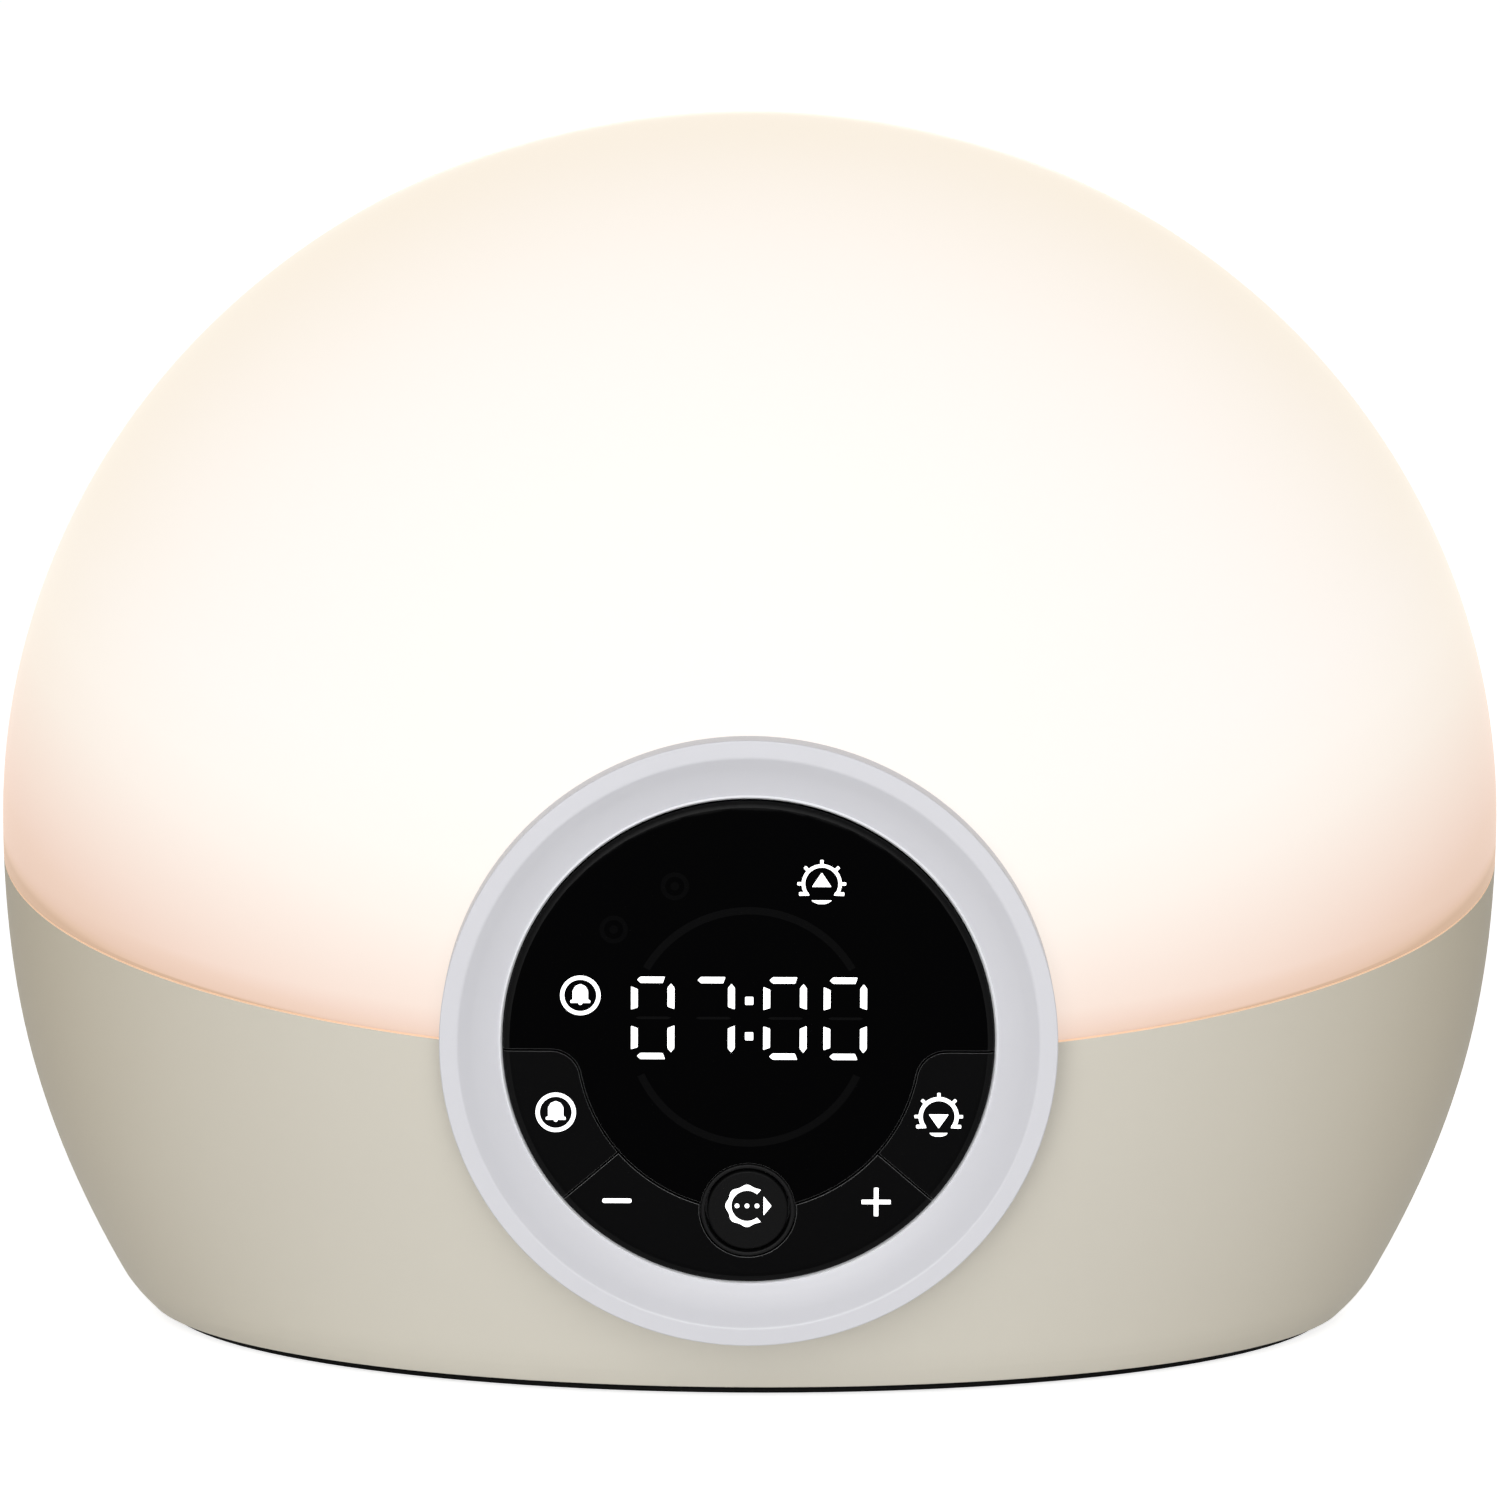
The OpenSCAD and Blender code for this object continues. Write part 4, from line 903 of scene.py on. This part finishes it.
for centre in HIDDEN_AT:
    unlit += [ring_inlay(*HIDDEN_RING, LENS_W, centre), dot_inlay(HIDDEN_DOT, LENS_W, centre)]
fit(gathered(unlit, "hidden_indicators"), (FAINT,), "housing", "light_window")
circle = [ring_inlay(*CIRCLE_R, LENS_W, CIRCLE_AT, start, turn) for start, turn in CIRCLE_ARCS]
fit(gathered(circle, "frosted_circle"), (FROSTED,), "housing", "lens")
fit(gathered(bell_symbol(KEY_W, ALARM_AT), "alarm_symbol"), (LIT_WHITE,), "alarm_button",
    "light_window")
fit(gathered(sun_symbol(KEY_W, LIGHT_AT, *LIGHT_RING, DOWN, LIGHT_BAR), "light_symbol"),
    (LIT_WHITE,), "light_button", "light_window")

BAR = ((-1.86, -0.29), (1.86, -0.29), (1.86, 0.29), (-1.86, 0.29))
UPRIGHT = tuple((y, x) for x, y in reversed(BAR))
MINUS_AT, PLUS_AT = (-16.62 * MM, -20.5 * MM), (16.3 * MM, -20.5 * MM)
signs = [inlay(BAR, KEY_W, MINUS_AT, 0.25 * MM), inlay(BAR, KEY_W, PLUS_AT, 0.12 * MM),
         inlay(UPRIGHT, KEY_W, PLUS_AT, 0.12 * MM)]
fit(gathered(signs, "minus_plus_symbols"), (LIT_WHITE,), "minus_plus_button", "light_window")

MENU_AT = (-0.1 * MM, -21.04 * MM)
MENU_RING, MENU_ARC = (1.98, 2.64), (50, 260)
WAVES, WAVE_H = 8, 0.045
MENU_DOTS, MENU_DOT_R = (-1.27, 0, 1.27), 0.3
open_ring = ring_inlay(*MENU_RING, MENU_W, (0, 0), *MENU_ARC)
for v in open_ring.verts:
    radius = math.hypot(v.co.x, v.co.y)
    if radius > sum(MENU_RING) / 2 * MM:
        wave = 1 + WAVE_H * math.cos(WAVES * math.atan2(v.co.y, v.co.x))
        v.co.x, v.co.y = v.co.x * wave, v.co.y * wave
menu_shapes = [shift(open_ring, *MENU_AT, 0)]
menu_shapes += [dot_inlay(MENU_DOT_R, MENU_W, (MENU_AT[0] + step * MM, MENU_AT[1]))
                for step in MENU_DOTS]
menu_shapes.append(inlay(((2.1, -1.26), (3.12, 0), (2.1, 1.26)), MENU_W, MENU_AT, 0.12 * MM))
fit(gathered(menu_shapes, "menu_symbol"), (LIT_WHITE,), "menu_button", "light_window")

# Diffuser dome: one milky moulding that the lamps light from inside. It glows warm white
# above and fades through peach to amber in the last centimetre over the seam.
SPIGOT_DROP, SPIGOT_RISE = 3.5 * MM, 2.4 * MM
SPIGOT_OUT, SPIGOT_IN = 2.5 * MM, 3.7 * MM
GLOW_HALF_W, SIDE_FALL, MIDDLE_LIFT = 90 * MM, 16 * MM, 2.8 * MM
CONTACT_DROP, CONTACT_H = 7 * MM, 4 * MM
LINE_DROP, LINE_H = 15 * MM, 0.5 * MM
FADE_RATE, FADE_START = 20.0, 0.36
CREAM, CREAM_POWER, CREAM_RATE = (0.985, 0.94, 0.84, 1), 3.6, 20.0
DRIFT_SCALE, DRIFT_SPAN, DRIFT_LEAST = 14.0, 0.6, 0.7
GLOW_STOPS = (
    (0.0, (214, 180, 153)), (0.05, (228, 195, 171)), (0.1, (233, 201, 181)),
    (0.22, (239, 210, 192)), (0.29, (243, 217, 202)), (0.39, (247, 226, 213)),
    (0.5, (250, 234, 223)), (0.64, (253, 243, 234)), (0.8, (255, 248, 241)),
    (1.0, (255, 249, 244)),
)


def glow_surface():
    """The lamp's light in the milky plastic, from peach at the seam to warm white."""
    group, given, made = effect_group("dome glow", (), (("Glow", "Color"),))
    nodes, links = group.nodes, group.links
    place = nodes.new("ShaderNodeTexCoord")
    axes = nodes.new("ShaderNodeSeparateXYZ")
    links.new(place.outputs["Object"], axes.inputs["Vector"])
    sum_of = chained(nodes, links)
    height = nodes.new("ShaderNodeVectorMath")
    height.operation = "DOT_PRODUCT"
    links.new(place.outputs["Object"], height.inputs[0])
    height.inputs[1].default_value = SEAM_UP
    above = sum_of("SUBTRACT", height.outputs["Value"], SEAM_Z * SEAM_UP.z)
    across = sum_of("ABSOLUTE", sum_of("DIVIDE", axes.outputs["X"], GLOW_HALF_W))
    aside = sum_of("POWER", across, 2.0)
    climb = sum_of("MULTIPLY_ADD", aside, -SIDE_FALL, MIDDLE_LIFT)
    contact, line = [
        sum_of("MAXIMUM", sum_of("MULTIPLY_ADD", above, -drop / height_of, drop), 0.0)
        for drop, height_of in ((CONTACT_DROP, CONTACT_H), (LINE_DROP, LINE_H))
    ]
    close = sum_of("ADD", contact, sum_of("MULTIPLY", line, aside))
    rise = sum_of("SUBTRACT", sum_of("ADD", above, climb), close)
    warm = nodes.new("ShaderNodeValToRGB")
    ramp = warm.color_ramp.elements
    while len(ramp) < len(GLOW_STOPS):
        ramp.new(0.5)
    for element, (place_at, colour) in zip(ramp, GLOW_STOPS):
        element.position = place_at
        element.color = display_colour(*colour)
    links.new(sum_of("MULTIPLY_ADD", rise, FADE_RATE, FADE_START), warm.inputs["Fac"])
    depth = sum_of("POWER", sum_of("ABSOLUTE", sum_of("DIVIDE", axes.outputs["Y"], HALF_D)), 2.0)
    edge = sum_of("POWER", sum_of("SUBTRACT", 1.0, depth), CREAM_POWER)
    drift = nodes.new("ShaderNodeTexNoise")
    drift.inputs["Scale"].default_value = DRIFT_SCALE
    drift.inputs["Detail"].default_value = 1.0
    links.new(place.outputs["Object"], drift.inputs["Vector"])
    uneven = sum_of("MULTIPLY_ADD", drift.outputs["Fac"], DRIFT_SPAN, DRIFT_LEAST)
    upper = sum_of("MINIMUM", sum_of("MULTIPLY", above, CREAM_RATE), 1.0)
    cream_share = sum_of("MULTIPLY", sum_of("MULTIPLY", edge, uneven), upper)
    cream = nodes.new("ShaderNodeMix")
    cream.data_type = "RGBA"
    cream.blend_type = "MULTIPLY"
    cream.inputs["B"].default_value = CREAM
    links.new(cream_share, cream.inputs["Factor"])
    links.new(warm.outputs["Color"], cream.inputs["A"])
    links.new(cream.outputs["Result"], made.inputs["Glow"])
    return group


def milky_plastic():
    material = bpy.data.materials.new("lit milky plastic")
    material.use_nodes = True
    nodes, links = material.node_tree.nodes, material.node_tree.links
    shader = nodes["Principled BSDF"]
    shader.inputs["Specular IOR Level"].default_value = 0.2
    shader.inputs["Emission Strength"].default_value = 0.73
    glow = nodes.new("ShaderNodeGroup")
    glow.node_tree = glow_surface()
    surface = nodes.new("ShaderNodeGroup")
    surface.node_tree = MOULDED
    values = {"Cloud Scale": 20, "Grain Scale": 2200, "Least Roughness": 0.42,
              "Most Roughness": 0.52}
    for socket, value in values.items():
        surface.inputs[socket].default_value = value
    body = nodes.new("ShaderNodeMix")
    body.data_type = "RGBA"
    body.blend_type = "MULTIPLY"
    body.inputs["Factor"].default_value = 1.0
    body.inputs["B"].default_value = (0.3, 0.3, 0.3, 1)
    bump = nodes.new("ShaderNodeBump")
    bump.inputs["Strength"].default_value = 0.5
    bump.inputs["Distance"].default_value = 0.008 * MM
    # The body colour is the glow at a third of its strength: painted lamp light, peach near the
    # seam, in the surface colour.
    links.new(glow.outputs["Glow"], body.inputs["A"])
    links.new(body.outputs["Result"], shader.inputs["Base Color"])
    links.new(glow.outputs["Glow"], shader.inputs["Emission Color"])
    links.new(surface.outputs["Roughness"], shader.inputs["Roughness"])
    links.new(surface.outputs["Height"], bump.inputs["Height"])
    links.new(bump.outputs["Normal"], shader.inputs["Normal"])
    return material


seam_point = Vector((0, 0, SEAM_Z))
dome = as_object(walled_form(0, WALL, ((seam_point, -SEAM_UP),)), "milky_dome")
spigot = as_object(walled_form(SPIGOT_OUT, SPIGOT_IN, (
    (seam_point - SEAM_UP * SPIGOT_DROP, -SEAM_UP), (seam_point + SEAM_UP * SPIGOT_RISE, SEAM_UP),
)), "dome_spigot")
carve(dome, face_bore(BORE_R))
carve(spigot, face_bore(BORE_R))
smoothed(dome)
fit(dome, (milky_plastic(),), "housing", "diffuser", "diffuser_dome")
smoothed(spigot)
SPIGOT_GLOW = lit("lit spigot", display_colour(250, 196, 140), 0.55,
                  display_colour(238, 178, 120))
fit(spigot, (SPIGOT_GLOW,), "housing", "diffuser")

# Studio: a white painted floor with two soft lamps in front and one behind, and the
# camera in front, a little above. The floor shows plain white and keeps the soft shadow.
FLOOR_SIZE, FLOOR_LIFT = 12.0, 0.75


def seen_share(nodes, links):
    """1 for a ray that shows a surface or its reflection, 0 for one that lights with it."""
    rays = nodes.new("ShaderNodeLightPath")
    most = chained(nodes, links)
    shown = most("MAXIMUM", rays.outputs["Is Camera Ray"], rays.outputs["Is Glossy Ray"])
    return most("MAXIMUM", shown, rays.outputs["Is Transmission Ray"])


def floor_white():
    material = bpy.data.materials.new("studio floor")
    material.use_nodes = True
    nodes, links = material.node_tree.nodes, material.node_tree.links
    paint = nodes["Principled BSDF"]
    paint.inputs["Base Color"].default_value = (0.8, 0.8, 0.8, 1)
    paint.inputs["Roughness"].default_value = 0.9
    paint.inputs["Specular IOR Level"].default_value = 0.0
    light = nodes.new("ShaderNodeEmission")
    both = nodes.new("ShaderNodeAddShader")
    lift = chained(nodes, links)("MULTIPLY", seen_share(nodes, links), FLOOR_LIFT)
    links.new(lift, light.inputs["Strength"])
    links.new(paint.outputs["BSDF"], both.inputs[0])
    links.new(light.outputs["Emission"], both.inputs[1])
    links.new(both.outputs["Shader"], nodes["Material Output"].inputs["Surface"])
    return material


ground = bmesh.new()
bmesh.ops.create_grid(ground, x_segments=1, y_segments=1, size=FLOOR_SIZE / 2)
floor = as_object(ground, "studio_floor")
floor.data.materials.append(floor_white())

WORLD_LIGHT = 0.33
world = bpy.data.worlds.new("studio")
bpy.context.scene.world = world
world.use_nodes = True
sky_nodes, sky_links = world.node_tree.nodes, world.node_tree.links
sky = sky_nodes["Background"]
sky.inputs["Color"].default_value = (1, 1, 1, 1)
level = sky_nodes.new("ShaderNodeMapRange")
level.inputs["To Min"].default_value = WORLD_LIGHT
level.inputs["To Max"].default_value = 1.0
sky_links.new(seen_share(sky_nodes, sky_links), level.inputs["Value"])
sky_links.new(level.outputs["Result"], sky.inputs["Strength"])

AIM = Vector((0, 0, 0.07))
for name, at, size, power in (
    ("key softbox", (-0.1, -2.1, 0.75), 1.5, 22.0),
    ("low softbox", (-0.1, -2.0, 0.12), 0.9, 14.5),
    ("back softbox", (0.0, 2.2, 0.25), 0.5, 16.0),
):
    lamp_data = bpy.data.lights.new(name, "AREA")
    lamp_data.size = size
    lamp_data.energy = power
    lamp = bpy.data.objects.new(name, lamp_data)
    lamp.location = at
    lamp.rotation_mode = "QUATERNION"
    lamp.rotation_quaternion = (AIM - Vector(at)).to_track_quat("-Z", "Y")
    bpy.context.scene.collection.objects.link(lamp)

EYE, LOOK_AT = Vector((0, -0.9845, 0.2519)), Vector((0, 0, 0.0765))
ROLL = math.radians(0.28)
camera_data = bpy.data.cameras.new("camera")
camera_data.lens = 179.2
camera_data.sensor_width = 36
camera_data.clip_start, camera_data.clip_end = 0.05, 50
camera = bpy.data.objects.new("camera", camera_data)
camera.location = EYE
camera.rotation_mode = "QUATERNION"
camera.rotation_quaternion = ((LOOK_AT - EYE).to_track_quat("-Z", "Y")
                              @ Matrix.Rotation(ROLL, 3, "Z").to_quaternion())
bpy.context.scene.collection.objects.link(camera)
bpy.context.scene.camera = camera

view = bpy.context.scene.view_settings
view.view_transform = "Standard"
